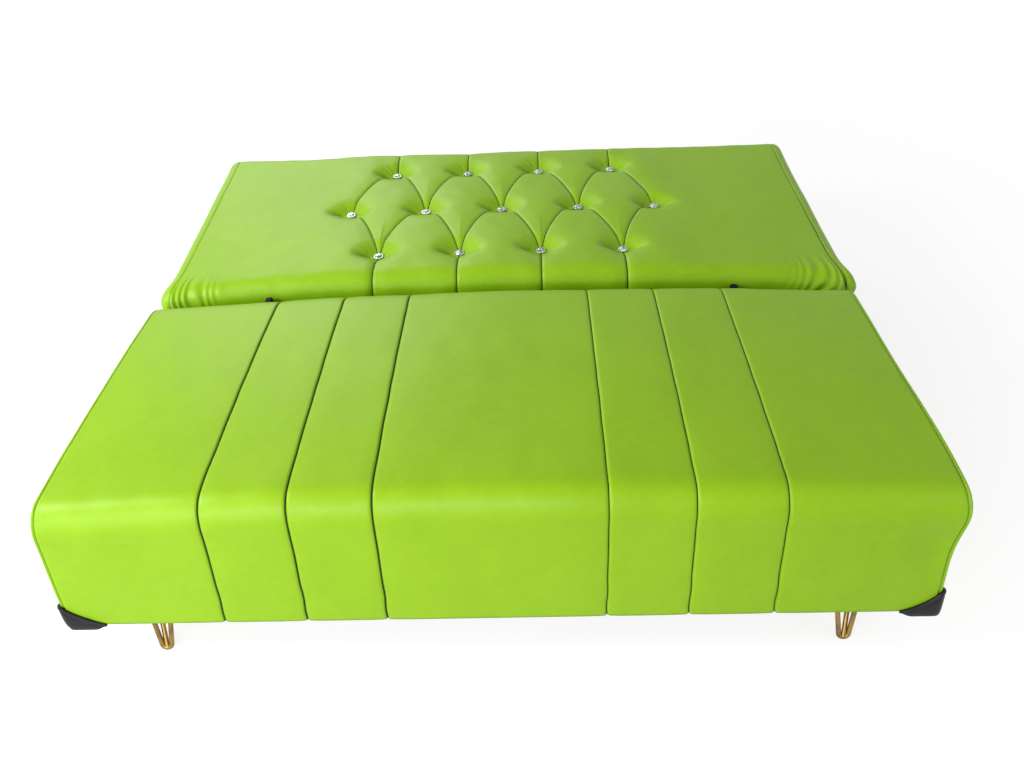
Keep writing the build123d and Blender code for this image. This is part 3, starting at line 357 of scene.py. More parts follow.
def moulded_plastic():
    """Black moulded plastic with a fine spark-eroded texture and rubbed, greyer high spots."""
    finish = material("black_moulded_plastic")
    texture = finish.noise(900.0, 3.0)
    rubbed = finish.spread(finish.noise(26.0, 5.0), 0.55, 0.8)
    colour = finish.tint(rubbed * 0.5, rgb(9, 10, 16), rgb(26, 28, 38))
    rough = 0.46 + rubbed * 0.12
    normal = finish.bump(texture, 0.0002, 0.4)
    return finish.surface(Base_Color=colour, Roughness=rough, Normal=normal, Specular_IOR_Level=0.3)


def metal(name, pale, dark, rough):
    """A plated or lacquered metal: cloudy tone and fine drawn scratches."""
    finish = material(name)
    cloud = finish.noise(18.0, 4.0)
    drawn = finish.noise(160.0, 3.0, finish.stretched((1.0, 1.0, 14.0)))
    colour = finish.tint(finish.spread(cloud, 0.3, 0.7), dark, pale)
    roughness = finish.spread(drawn, 0.3, 0.7, rough - 0.06, rough + 0.10)
    normal = finish.bump(drawn, 0.0002, 0.25)
    return finish.surface(Base_Color=colour, Roughness=roughness, Metallic=1.0, Normal=normal)


def crystal():
    """Foil-backed cut glass: silver facets with a painted reflection, each dark, grey or bright by a
    seeded number, on top of what the metal really mirrors.
    """
    finish = material("foil_backed_crystal")
    dark, grey, bright = (0.03, 0.04, 0.04), (0.16, 0.19, 0.19), (0.86, 0.88, 0.90)
    # Painted reflection: each facet's colour, dark, grey or bright, comes from its seeded number.
    colour = finish.ramp(finish.attribute("facet"), [(0.0, dark), (0.48, grey), (0.88, bright)])
    dusty = finish.spread(finish.noise(700.0, 2.0), 0.45, 0.8, 0.04, 0.12)
    return finish.surface(
        Base_Color=colour, Roughness=dusty, Metallic=0.85, Coat_Weight=1.0, Coat_Roughness=0.03
    )


def thread(name, pale, dark):
    """Twisted thread: slanting light and dark turns."""
    finish = material(name)
    twist = finish.node(
        "ShaderNodeTexWave", {"bands_direction": "DIAGONAL"},
        {"Vector": finish.place(), "Scale": 500.0, "Distortion": 0.4},
    )
    colour = finish.tint(twist, dark, pale)
    return finish.surface(Base_Color=colour, Roughness=0.85, Normal=finish.bump(twist, 0.0004, 0.7))


# Shapes


def smooth_step(low, high, value):
    """Rises from 0 to 1 between low and high: 3 s squared less 2 s cubed, s the share of the way."""
    share = np.clip((value - low) / (high - low), 0, 1)
    return share * share * (3 - 2 * share)


def bell(distance, width):
    """A bell: e to minus the square of distance over width."""
    return np.exp(-(distance / width) ** 2)


def lines(low, high, step, marks, offsets):
    """Grid places from low to high about a step apart, with finer ones at the offsets round each mark."""
    coarse = np.linspace(low, high, int(round((high - low) / step)) + 1)
    offsets = np.array(offsets)
    marks = np.asarray(marks)[:, None]
    fine = np.concatenate([marks + offsets, marks - offsets]).ravel()
    fine = fine[(fine > low) & (fine < high)]
    apart = np.abs(coarse[:, None] - fine[None, :]).min(axis=1)
    kept = coarse[apart > step * 0.4]
    return np.unique(np.round(np.concatenate([[low], fine, kept, [high]]), 5))


def ripple(x, y, wave, seed, count=9):
    """A gentle uneven swell: a sum of waves of about one length in seeded directions."""
    random = np.random.default_rng(seed)
    total = 0
    for _ in range(count):
        turn, phase = random.uniform(0, 2 * np.pi, 2)
        length = wave * random.uniform(0.7, 1.5)
        total = total + np.cos(2 * np.pi * (x * np.cos(turn) + y * np.sin(turn)) / length + phase)
    return total / count**0.5


def enclosed(vertices, faces):
    """Six times the volume inside quads or triangles, negative when they point inwards."""
    corners = vertices[faces]
    total = 0
    for i in range(1, faces.shape[1] - 1):
        total += np.einsum("ij,ij->", corners[:, 0], np.cross(corners[:, i], corners[:, i + 1]))
    return total


def piece(name, vertices, faces, finish, body, values=None, smooth=True, closed=True):
    """A finished mesh from an array of points and lists of faces, turned outwards if it is closed."""
    vertices = np.asarray(vertices, float)
    faces = [np.asarray(group) for group in faces if len(group)]
    if closed and sum(enclosed(vertices, group) for group in faces) < 0:
        faces = [group[:, ::-1] for group in faces]
    mesh = bpy.data.meshes.new(name)
    mesh.from_pydata(vertices.tolist(), [], [face for group in faces for face in group.tolist()])
    mesh.polygons.foreach_set("use_smooth", np.full(len(mesh.polygons), smooth))
    for label, numbers in (values or {}).items():
        stored = mesh.attributes.new(label, "FLOAT", "POINT")
        stored.data.foreach_set("value", np.asarray(numbers, np.float32).ravel())
    mesh.materials.append(finish)
    made = placed(name, mesh)
    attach(made, body)
    return made


def loop_faces(rings, places):
    """Quads between each ring and the next, the last place of a ring joined to its first."""
    ring, place = np.meshgrid(np.arange(rings - 1), np.arange(places), indexing="ij")
    after = (place + 1) % places
    return np.stack([ring * places + place, ring * places + after,
                     (ring + 1) * places + after, (ring + 1) * places + place], axis=-1)


def pole_faces(ring, places, pole):
    """Triangles from one ring to a single point."""
    place = np.arange(places)
    after = (place + 1) % places
    return np.stack([ring * places + after, ring * places + place, np.full(places, pole)], axis=-1)


def shut_skin(rings, holes):
    """The points and faces of a skin over rings, shut by a pole at each end. Holes is a mask of the
    cells left open."""
    count, places = rings.shape[:2]
    ends = np.stack([rings[0].mean(axis=0), rings[-1].mean(axis=0)])
    quads = loop_faces(count, places)[~holes].reshape(-1, 4)
    first = pole_faces(0, places, count * places)
    last = pole_faces(count - 1, places, count * places + 1)[:, ::-1]
    return np.concatenate([rings.reshape(-1, 3), ends]), [quads[:, ::-1], first[:, ::-1], last[:, ::-1]]


def cushion(name, rings, finish, body, seam, holes):
    """A cushion skin over rings of points along X, with each point's distance from a seam."""
    vertices, faces = shut_skin(rings, holes)
    values = {"seam": np.concatenate([seam.ravel(), [1.0, 1.0]])}
    return piece(name, vertices, faces, finish, body, values)


def pushed(rings, amount):
    """The rings moved along their own outward normals in the YZ plane."""
    along = np.roll(rings, -1, axis=1) - np.roll(rings, 1, axis=1)
    length = np.hypot(along[..., 1], along[..., 2]) + 1e-9
    moved = rings.copy()
    moved[..., 1] -= amount * along[..., 2] / length
    moved[..., 2] += amount * along[..., 1] / length
    return moved


def eased(rings, last, passes):
    """The part of each outline before a place made smoother: each point drawn to its neighbours' mean."""
    rings = rings.copy()
    for _ in range(passes):
        middle = rings[:, 1:last]
        rings[:, 1:last] = 0.5 * middle + 0.25 * (rings[:, : last - 1] + rings[:, 2 : last + 1])
    return rings


def with_caps(rings, steps, crown):
    """Rings added beyond both ends, drawing each end outline in to its middle. They stand out by the
    crown times 1 less the square of the way still to go."""
    share = np.linspace(0, 1, steps + 1)[1:-1, None, None]
    caps = []
    for end, outward in ((rings[0], -1.0), (rings[-1], 1.0)):
        middle = end.mean(axis=0)
        middle[2] = (end[:, 2].min() + end[:, 2].max()) / 2
        middle[1] = (end[:, 1].min() + end[:, 1].max()) / 2
        drawn = end[None] + (middle - end)[None] * share
        level = smooth_step(0, 0.8, share[..., 0])
        drawn[..., 0] = end[None, :, 0] * (1 - level) + middle[0] * level
        drawn[..., 0] += outward * crown * (1 - (1 - share[..., 0]) ** 2)
        caps.append(drawn)
    return np.concatenate([caps[0][::-1], rings, caps[1]])


def closed_outline(x, runs, rear, foot, rear_edge, front_edge):
    """Joins an outline's runs and closes it along the underside from the rear forward, with places just
    inside each end and at the opening's edges. Skin is how many points come before those."""
    margin = 0.004
    under = [rear - margin, rear_edge + 0 * rear, front_edge + 0 * rear, foot + margin]
    y = np.concatenate([run_y for run_y, _ in runs] + under, axis=1)
    z = np.concatenate([run_z for _, run_z in runs] + [UNDERSIDE + 0 * rear] * len(under), axis=1)
    skin = y.shape[1] - len(under)
    return np.stack([np.broadcast_to(x, y.shape), y, z], axis=-1), skin


def seat_outline(x, inset):
    """One closed side outline for each place x: up the flared front, an oval shoulder, a bowed top that
    falls to the rear, a round rear edge, down, and back along the underside."""
    x = x[:, None]
    inset = inset[:, None]
    top = SEAT_HEIGHT + SEAT_CROWN * (1 - (x / HALF) ** 2) - inset
    front = SHOULDER + inset
    rear = SEAT_REAR - inset
    run = np.maximum(SHOULDER_RUN - inset, LEAST_ROUND)
    rise = np.maximum(SHOULDER_RISE - inset, LEAST_ROUND)
    turn = np.maximum(SEAT_REAR_ROUND - inset, LEAST_ROUND)
    foot = front - FRONT_FLARE
    low_end = top - rise
    rear_top = top - SEAT_FALL
    up = np.concatenate([[0, 0.012, 0.035], np.linspace(0.08, 1, 24)])[None]
    quarter = np.linspace(0, np.pi / 2, 22)[None, 1:]
    over = np.linspace(0, 1, 84)[None, 1:]
    down = np.concatenate([np.linspace(0, 0.92, 16)[1:], [0.97, 1]])[None]
    runs = [
        (foot + (front - foot) * up, UNDERSIDE + (low_end - UNDERSIDE) * up),
        (front + run * (1 - np.cos(quarter)), top - rise * (1 - np.sin(quarter))),
        (front + run + (rear - turn - front - run) * over,
         top + (rear_top - top) * over + 4 * SEAT_TOP_BOW * over * (1 - over)),
        (rear - turn + turn * np.sin(quarter), rear_top - turn + turn * np.cos(quarter)),
        (rear + 0 * down, (rear_top - turn) + (UNDERSIDE - rear_top + turn) * down),
    ]
    return closed_outline(x, runs, rear, foot, SEAT_REAR - TURN_UNDER, FRONT + TURN_UNDER)


def from_channel(x):
    """Distance sideways from the nearest sewn channel."""
    return np.abs(x[..., None] - CHANNELS).min(axis=-1)


def seat_surface():
    """The seat's rings, with creased channels, side seams and bulging side panels, and each point's
    distance from the nearest seam, which sets the painted seam shade, stretched where a seam looks
    thinner or fainter."""
    marks = np.concatenate([CHANNELS, [-SIDE_SEAM, SIDE_SEAM]])
    x = lines(-SIDE_SEAM, SIDE_SEAM, SEAT_STEP, marks, SEAM_OFFSETS)
    edges = [s * e for s in (-1, 1) for e in (*SEAT_SLOTS[0], HALF - TURN_UNDER)]
    x = np.unique(np.round(np.concatenate([x, edges]), 5))
    apart = from_channel(x)
    pressed = CREASE * np.exp(-((apart / CREASE_WIDTH) ** 1.4)) + HOLLOW * bell(apart, HOLLOW_WIDTH)
    pressed += SIDE_SEAM_PRESS * bell(SIDE_SEAM - np.abs(x), SIDE_SEAM_WIDTH)
    turn = np.radians(np.array([6, 14, 24, 34, 44, 54, 64, 73, 82, 90]))
    panel = SIDE_SEAM + SIDE_BULGE * np.sin(turn)
    drawn = SIDE_DRAW * (1 - np.cos(turn)) ** 1.25
    drawn += SIDE_SEAM_PRESS * bell(panel - SIDE_SEAM, SIDE_SEAM_WIDTH)
    x = np.concatenate([-panel[::-1], x, panel])
    pressed = np.concatenate([drawn[::-1], pressed, drawn])
    rings, skin = seat_outline(x, pressed)
    rings = eased(rings, skin - 1, 8)
    channel = from_channel(x) * np.where(x > 0, RIGHT_CHANNEL_STRETCH, LEFT_CHANNEL_STRETCH)
    fading = SIDE_SEAM_FADING + 0.0004 * smooth_step(-0.72, -0.62, rings[..., 1])
    side = np.abs(np.abs(x) - SIDE_SEAM)[:, None] * SIDE_SEAM_STRETCH + fading
    return side_fullness(seat_unevenness(rings)), np.minimum(channel[:, None], side), skin


def seat_unevenness(rings):
    """Millimetre swells of the stretched cover, fading at the bottom edges, a hollow dragged below the
    right shoulder, and seams that wander a little."""
    x, y, z = np.moveaxis(rings, -1, 0)
    fade = smooth_step(UNDERSIDE + 0.002, UNDERSIDE + 0.05, z)
    swell = SWELL * ripple(x, y + z, 0.34, 3) + SEAT_FINE_SWELL * ripple(x, y + z, 0.09, 4)
    drag = SHOULDER_DRAG * bell(x - 0.872, 0.040) * bell(z - 0.315, 0.055) * (y < SHOULDER + 0.02)
    rings = pushed(rings, swell * fade - drag)
    low = 1 - smooth_step(UNDERSIDE + 0.05, UNDERSIDE + 0.16, z)
    wander = (0.0003 + 0.0006 * low) * ripple(0 * x, y + z, 0.11, 5)
    rings[..., 0] += wander * bell(from_channel(x), 0.03)
    return rings


def side_fullness(rings):
    """The side panels stand out beyond their seams: evenly up to the top on the left, and most at the
    front shoulder on the right, as a bell in height."""
    x, y, z = np.moveaxis(rings, -1, 0)
    panel = smooth_step(SIDE_SEAM - 0.040, SIDE_SEAM + 0.006, np.abs(x))
    front = 1 - smooth_step(-0.66, -0.30, y)
    share = np.clip((z - UNDERSIDE) / (SEAT_HEIGHT + 0.02 - UNDERSIDE), 0, 1)
    plateau = np.clip(np.sin(np.pi * share), 0, 1) ** 0.35
    left = LEFT_FULLNESS * plateau * (0.7 + 0.3 * front)
    right = RIGHT_FULLNESS * plateau * (1 - 0.8 * front)
    right += RIGHT_SHOULDER_FULLNESS * front * bell(z - 0.400, 0.075)
    rings[..., 0] += np.where(x > 0, right, -left) * panel
    return rings


def leatherette_cover(name, rings, seam, skin, body, slots):
    """A cover with rounded-in ends, open underneath inside its edge and at the hinges."""
    rings = with_caps(rings, END_RINGS + 1, END_CROWN)
    seam = np.pad(seam, ((END_RINGS, END_RINGS), (0, 0)), constant_values=0.1)
    middle = rings[:, :, 0].mean(axis=1)
    across = np.abs(middle[:-1] + middle[1:])[:, None] / 2
    place = (rings[:-1] + np.roll(rings[1:], -1, axis=1)) / 2
    (inner, outer), (near, far), (low, high) = slots
    holes = (across > inner) & (across < outer) & (place[..., 1] > near) & (place[..., 1] < far)
    holes &= (place[..., 2] > low) & (place[..., 2] < high)
    holes[:, skin + 1] |= across[:, 0] < HALF - TURN_UNDER
    return cushion(name, rings, FINISHES["leatherette"], body, seam, holes)


def seat_leatherette(rings, seam, skin):
    """The seat's cover over its rings."""
    made = leatherette_cover("seat_leatherette", rings, seam, skin, "seat", SEAT_SLOTS)
    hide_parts("seat_cover")


def back_top(x, y):
    """Height of the back's top: crowned along its near end, level along its far end."""
    return BACK_HEIGHT + BACK_CROWN * (1 - (x / HALF) ** 2) * (BACK_FAR - y) / (BACK_FAR - BACK_NEAR)


def back_outline(x, inset):
    """One closed side outline for each place x: near face, round, top, far round, far face, underside."""
    x = x[:, None]
    inset = inset[:, None]
    near = BACK_NEAR + inset
    far = BACK_FAR - inset
    near_top = back_top(x, BACK_NEAR) - inset
    far_top = BACK_HEIGHT - inset
    near_turn = np.maximum(BACK_NEAR_ROUND - inset, LEAST_ROUND)
    far_turn = np.maximum(BACK_FAR_ROUND - inset, LEAST_ROUND)
    up = np.concatenate([[0, 0.02, 0.06], np.linspace(0.12, 1, 16)])[None]
    quarter = np.linspace(0, np.pi / 2, 18)[None, 1:]
    over = np.linspace(0, 1, 146)[None, 1:]
    down = np.concatenate([np.linspace(0, 0.9, 12)[1:], [0.96, 1]])[None]
    runs = [
        (near + 0 * up, UNDERSIDE + (near_top - near_turn - UNDERSIDE) * up),
        (near + near_turn * (1 - np.cos(quarter)), near_top - near_turn * (1 - np.sin(quarter))),
        (near + near_turn + (far - far_turn - near - near_turn) * over,
         near_top + (far_top - near_top) * over),
        (far - far_turn + far_turn * np.sin(quarter), far_top - far_turn + far_turn * np.cos(quarter)),
        (far + 0 * down, far_top - far_turn + (UNDERSIDE - far_top + far_turn) * down),
    ]
    return closed_outline(x, runs, far, near, BACK_FAR - TURN_UNDER, BACK_NEAR + TURN_UNDER)


def seam_sweep(share, oval):
    """How far sideways a diamond seam has gone at a share of the way down: a quarter oval, blended by
    the oval share with a straight line."""
    share = np.clip(share, 0, 1)
    return oval * np.sqrt(1 - (1 - share) ** 2) + (1 - oval) * share


def tuft_seam(x, y):
    """Signed distance to the nearest tuft seam: the distance sideways from the nearest outer-row tuft,
    less half a pitch times the seam's sweep, divided by the seam's slant."""
    offsets = x[..., None] - OUTER_ROW_PLACES
    nearest = np.abs(offsets).argmin(axis=-1)
    rightward = np.take_along_axis(offsets, nearest[..., None], axis=-1)[..., 0] > 0
    sideways = np.abs(offsets).min(axis=-1)
    row = FAR_ROW - MIDDLE_ROW

    def sweep(place):
        far_part = seam_sweep((FAR_ROW - place) / row, np.where(rightward, 0.42, 0.6))
        near_part = 1 - seam_sweep((MIDDLE_ROW - place) / row, np.where(rightward, 0.6, 0.42))
        return np.where(place > MIDDLE_ROW, far_part, near_part)

    small = 0.002
    slope = (sweep(y + small) - sweep(y - small)) / (2 * small) * TUFT_PITCH / 2
    return (sideways - TUFT_PITCH / 2 * sweep(y)) / np.sqrt(1 + slope**2)


def tuft_relief(x, y):
    """How the tufting moves the surface: cusped dimples, pressed seams that flatten towards the far
    edge, pillows that follow a cosine lattice, a fold to each side of a tuft, and small gathers."""
    seam = tuft_seam(x, y)
    inside = 1 - smooth_step(0.44, 0.50, np.abs(x))
    straight = (y > FAR_ROW) | (y < NEAR_ROW)
    held = np.where(straight, 1 - smooth_step(0.345, 0.37, np.abs(x)), inside)
    crease = TUFT_CREASE * np.exp(-((np.abs(seam) / TUFT_CREASE_WIDTH) ** 1.4))
    hollow = TUFT_HOLLOW * bell(seam, TUFT_HOLLOW_WIDTH)
    wave = np.cos(2 * np.pi * x / TUFT_PITCH) * np.cos(np.pi * (y - MIDDLE_ROW) / (FAR_ROW - MIDDLE_ROW))
    full = 1 - smooth_step(0.38, 0.66, np.abs(x))
    flat = 1 - FAR_EDGE_FLATTENING * smooth_step(FAR_ROW + 0.02, BACK_FAR - 0.04, y)
    relief = -(crease + hollow) * held * flat + PILLOW * full * (1 - wave)
    deepest = np.zeros_like(relief)
    for x0, y0 in TUFTS:
        across, along = (x - x0) / 1.15, y - y0
        reach = np.hypot(across, along)
        share = np.clip((reach - DIMPLE_FLOOR) / (DIMPLE_RADIUS - DIMPLE_FLOOR), 0, 1)
        deepest = np.maximum(deepest, DIMPLE_DEPTH * (1 - share) ** 2.7)
        turn = np.arctan2(along, -across)
        for way, depth in ((-1, LEFT_FOLD), (1, RIGHT_FOLD)):
            out = way * (x - x0)
            length = smooth_step(0.002, 0.014, out) * (1 - smooth_step(0.020, 0.080, out))
            relief = relief - depth * length * bell(along + 0.10 * out, 0.006 + 0.16 * np.abs(out))
        ring = bell(reach - 0.034, 0.017)
        upper_left = bell(turn - 0.75, 0.55)
        gather = GATHER * (1.0 if y0 > MIDDLE_ROW else 0.4)
        relief = relief + gather * np.cos(turn * 15) * ring * upper_left
        relief = relief + FINE_GATHER * np.cos(turn * 9 + x0 * 40) * bell(reach - 0.026, 0.012)
    fade = smooth_step(0, DIMPLE_DEPTH, deepest)
    return relief * (1 - fade**4) - deepest


def corner_pleats(x, y, z):
    """Gathered pleats low on the near corners: waves across the near round, deepest at the bottom."""
    left = bell(x + 0.835, 0.060) * np.cos(2 * np.pi * (x + 0.30 * z) / 0.0215 + 2 * np.cos(x * 90))
    right = bell(x - 0.838, 0.055) * np.cos(2 * np.pi * (x - 0.60 * z) / 0.0205 + 2 * np.cos(x * 70))
    low = 1 - smooth_step(0.350, 0.404, z)
    near = 1 - smooth_step(BACK_NEAR + 0.045, BACK_NEAR + 0.11, y)
    return (LEFT_PLEATS * left + RIGHT_PLEATS * right) * low * near


def corner_fullness(rings):
    """The back widens towards its near end, more on the right, and its gathered near corners bulge
    sideways and forwards as a bell round the corner."""
    x, y, z = np.moveaxis(rings, -1, 0)
    side = smooth_step(0.70, 0.90, np.abs(x))
    near = 1 - smooth_step(0.05, 0.75, y)
    height = smooth_step(UNDERSIDE, UNDERSIDE + 0.10, z)
    spread = np.where(x > 0, 0.007 + 0.017 * near, 0.010 + 0.002 * near) * height
    corner = bell(y - BACK_NEAR - 0.010, 0.060) * bell(z - 0.340, 0.060)
    widening = np.where(x > 0, RIGHT_CORNER_WIDENING, LEFT_CORNER_WIDENING)
    advance = np.where(x > 0, RIGHT_CORNER_ADVANCE, LEFT_CORNER_ADVANCE)
    rings[..., 0] += np.sign(x) * side * (spread + widening * corner)
    rings[..., 1] -= advance * side * corner
    return rings


def back_skin_rings():
    """The back's rings before tufting: fine over the tufts, rounded sides, bulging side panels."""
    tufted = lines(-TUFTED_HALF, TUFTED_HALF, TUFTED_STEP, OUTER_ROW_PLACES, (0, 0.0012))
    plain = np.linspace(TUFTED_HALF, PLEATS_FROM, 21)
    offsets = (0, 0.001, 0.002, 0.0035)
    pleated = lines(PLEATS_FROM, BACK_SIDE_SEAM, PLEATED_STEP, (BACK_SIDE_SEAM,), offsets)
    edges = [*BACK_SLOTS[0], HALF - TURN_UNDER]
    plain = np.unique(np.round(np.concatenate([plain, pleated, edges]), 5))[1:]
    x = np.concatenate([-plain[::-1], tufted, plain])
    pressed = BACK_SEAM_PRESS * bell(BACK_SIDE_SEAM - np.abs(x), BACK_SEAM_WIDTH)
    turn = np.radians(np.array([2, 4, 8, 14, 22, 31, 41, 51, 61, 71, 81, 90]))
    side = BACK_SIDE_SEAM + BACK_SIDE_ROUND * np.sin(turn)
    drawn = BACK_SIDE_ROUND * (1 - np.cos(turn))
    drawn += BACK_SEAM_PRESS * bell(side - BACK_SIDE_SEAM, BACK_SEAM_WIDTH)
    x = np.concatenate([-side[::-1], x, side])
    pressed = np.concatenate([drawn[::-1], pressed, drawn])
    rings, skin = back_outline(x, pressed)
    return eased(rings, skin - 1, 4), skin


def back_surface():
    """The back's rings with all their relief and a deep fold at the near right corner, and each point's
    distance from the nearest seam, which sets the painted seam shade, stretched where a seam looks
    thinner or fainter and shrunk in the corner fold to widen the painted shade there."""
    rings, skin = back_skin_rings()
    x, y, z = np.moveaxis(rings, -1, 0).copy()
    fade = smooth_step(UNDERSIDE + 0.002, UNDERSIDE + 0.05, z)
    relief = tuft_relief(x, y) + corner_pleats(x, y, z)
    relief += SWELL * ripple(x, y + z, 0.30, 13) + BACK_FINE_SWELL * ripple(x, y + z, 0.08, 14)
    corner = bell(y - BACK_NEAR - 0.010, 0.050) * smooth_step(0.22, 0.28, z) * (x > 0)
    relief -= CORNER_FOLD * corner * bell(x - BACK_SIDE_SEAM - 0.004, 0.0055)
    rings = corner_fullness(pushed(rings, relief * fade))
    tufts = tuft_seam(x, y)
    fading = np.where(x > 0, smooth_step(0.30, 0.50, y), 1.6)
    # In the near right corner fold the seam distance shrinks, widening the painted seam shade into the
    # fold.
    edge = np.abs(np.abs(x) - BACK_SIDE_SEAM) * (1.8 - 1.0 * corner) + 0.0013 * fading * (1 - corner)
    tufts = tufts * np.where((y > FAR_ROW) | (y < NEAR_ROW), STRAIGHT_STRETCH, DIAMOND_STRETCH)
    seam = np.where(np.abs(x) < 0.47, tufts, np.minimum(np.abs(tufts), edge))
    return rings, seam, skin


def back_leatherette(rings, seam, skin):
    """The back's cover over its rings."""
    made = leatherette_cover("back_leatherette", rings, seam, skin, "back", BACK_SLOTS)
    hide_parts("back_cover")


def foam_pad(name, rings, skin, body, node):
    """A foam block just inside its cover, further in from the hinges out to the sides, and open
    underneath where the wooden frame stands in it."""
    extra = FOAM_SIDE_INSET * smooth_step(*FOAM_SIDE_FROM, np.abs(rings[::2, :, 0]))
    rings = pushed(rings[::2], -FOAM_INSET - extra)
    rings[..., 0] -= np.sign(rings[..., 0]) * extra
    rings = with_caps(rings, 4, 0.0)
    middle = np.abs(rings[:, :, 0].mean(axis=1))
    holes = np.zeros((len(rings) - 1, rings.shape[1]), bool)
    holes[:, skin - 1:] = (np.maximum(middle[:-1], middle[1:]) < HALF - SIDE_PADDING)[:, None]
    rings[..., 2] = np.maximum(rings[..., 2], FRAME_BASE)
    made = cushion(name, rings, FINISHES["foam"], body, np.ones(rings.shape[:2]), holes)
    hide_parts(node)


def underside_sheet(name, node, body, front, rear):
    """The underside cloth: a stretched sheet that sags a little between the frame's boards."""
    rows, columns = 120, 50
    half = HALF - TURN_UNDER - CLOTH_GAP
    x = np.linspace(-half, half, rows)[:, None]
    y = np.linspace(front + TURN_UNDER + CLOTH_GAP, rear - TURN_UNDER - CLOTH_GAP, columns)[None, :]
    x, y = np.broadcast_arrays(x, y)
    across = np.cos(np.pi * x / (2 * half)) ** 0.5
    middle = (y - y.min()) / (y.max() - y.min())
    sag = CLOTH_SAG * across * np.sin(np.pi * middle) ** 0.7 * (1 + 0.25 * ripple(x, y, 0.2, 21))
    points = np.stack([x, y, UNDERSIDE + CLOTH_THICKNESS / 2 - sag], axis=-1)
    row, column = np.meshgrid(np.arange(rows - 1), np.arange(columns - 1), indexing="ij")
    start = row * columns + column
    quads = np.stack([start, start + 1, start + columns + 1, start + columns], axis=-1).reshape(-1, 4)
    made = piece(name, points.reshape(-1, 3), [quads], FINISHES["underside_cloth"], body, closed=False)
    thick = made.modifiers.new("thickness", "SOLIDIFY")
    thick.thickness = CLOTH_THICKNESS
    thick.offset = -1
    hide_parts(node)


def stone_triangles(facets, shifts):
    """One cut stone's triangles, as places in its list of points: two for each facet between rings,
    slanted the way the rings are turned, then the table's and the base's fans."""
    place = np.arange(facets)
    after = (place + 1) % facets
    groups = []
    for ring in range(len(shifts) - 1):
        a, b = ring * facets + place, ring * facets + after
        c, d = a + facets, b + facets
        if shifts[ring] > shifts[ring + 1]:
            pair = (a, b, d), (a, d, c)
        else:
            pair = (a, b, c), (b, d, c)
        groups.append(np.array(pair).transpose(2, 0, 1))
    last = (len(shifts) - 1) * facets
    top = np.full(facets, last + facets)
    fans = np.array([(last + place, last + after, top), (after, place, top + 1)])
    groups.append(fans.transpose(2, 0, 1))
    return np.concatenate(groups).reshape(-1, 3)


def button_stones():
    """Cut stones: for each, rings of facets round a table, turned by half a facet from ring to ring. A
    seeded number for each facet sets its painted reflection, how dark or bright it looks."""
    turns = 2 * np.pi * (np.arange(STONE_FACETS)[None, :] + STONE_SHIFTS[:, None]) / STONE_FACETS
    heights = np.repeat(STONE_HEIGHTS[:, None], STONE_FACETS, axis=1)
    radii = STONE_RADII[:, None]
    rings = np.stack([radii * np.cos(turns), radii * np.sin(turns), heights], axis=-1)
    middles = [(0, 0, STONE_HEIGHTS[-1] + STONE_TABLE_RISE), (0, 0, STONE_HEIGHTS[0])]
    one = np.concatenate([rings.reshape(-1, 3), middles])
    seats = np.column_stack([TUFTS, back_top(TUFTS[:, 0], TUFTS[:, 1]) - DIMPLE_DEPTH])
    triangles = stone_triangles(STONE_FACETS, STONE_SHIFTS)
    cut = (seats[:, None] + one)[:, triangles].reshape(-1, 3)
    random = np.random.default_rng(8)
    painted_facet_reflections = np.repeat(random.uniform(0, 1, (len(TUFTS), len(triangles))), 3)
    made = piece("button_stones", cut, [np.arange(len(cut)).reshape(-1, 3)],
                 FINISHES["crystal"], "back", {"facet": painted_facet_reflections}, smooth=False)
    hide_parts("button_crystals")


def cap_path():
    """The right cap in plan, from its front tip round the corner to its side tip: places along X, insets
    behind the front, and the height of its scooped rim, where a ball round a point inside the seat meets
    the seat's face."""
    turn = np.linspace(0, np.pi / 2, 16)[1:-1]
    x = np.concatenate([np.linspace(HALF - CAP_RUN, SIDE_SEAM, 30), SIDE_SEAM + SIDE_BULGE * np.sin(turn),
                        np.full(26, HALF)])
    inset = np.concatenate([np.zeros(30), SIDE_DRAW * (1 - np.cos(turn)) ** 1.25,
                            np.linspace(SIDE_DRAW, CAP_RUN, 26)])
    height = ((2 * CAP_SCOOP - CAP_RUN) * CAP_RUN + CAP_RISE**2) / (2 * CAP_RISE)
    radius = np.sqrt((CAP_SCOOP - CAP_RUN) ** 2 + CAP_SCOOP**2 + height**2)
    rim = np.full(len(x), UNDERSIDE)
    for _ in range(30):
        y = FRONT + inset + front_slope(x) * (rim - UNDERSIDE)
        flat = (x - HALF + CAP_SCOOP) ** 2 + (y - FRONT - CAP_SCOOP) ** 2
        rim = UNDERSIDE + height - np.sqrt(np.maximum(radius**2 - flat, 0))
    return x, inset, np.maximum(rim, UNDERSIDE)


def front_slope(x):
    """How far the front leans back for each metre up."""
    top = SEAT_HEIGHT + SEAT_CROWN * (1 - (np.minimum(x, HALF) / HALF) ** 2)
    return FRONT_FLARE / (top - SHOULDER_RISE - UNDERSIDE)


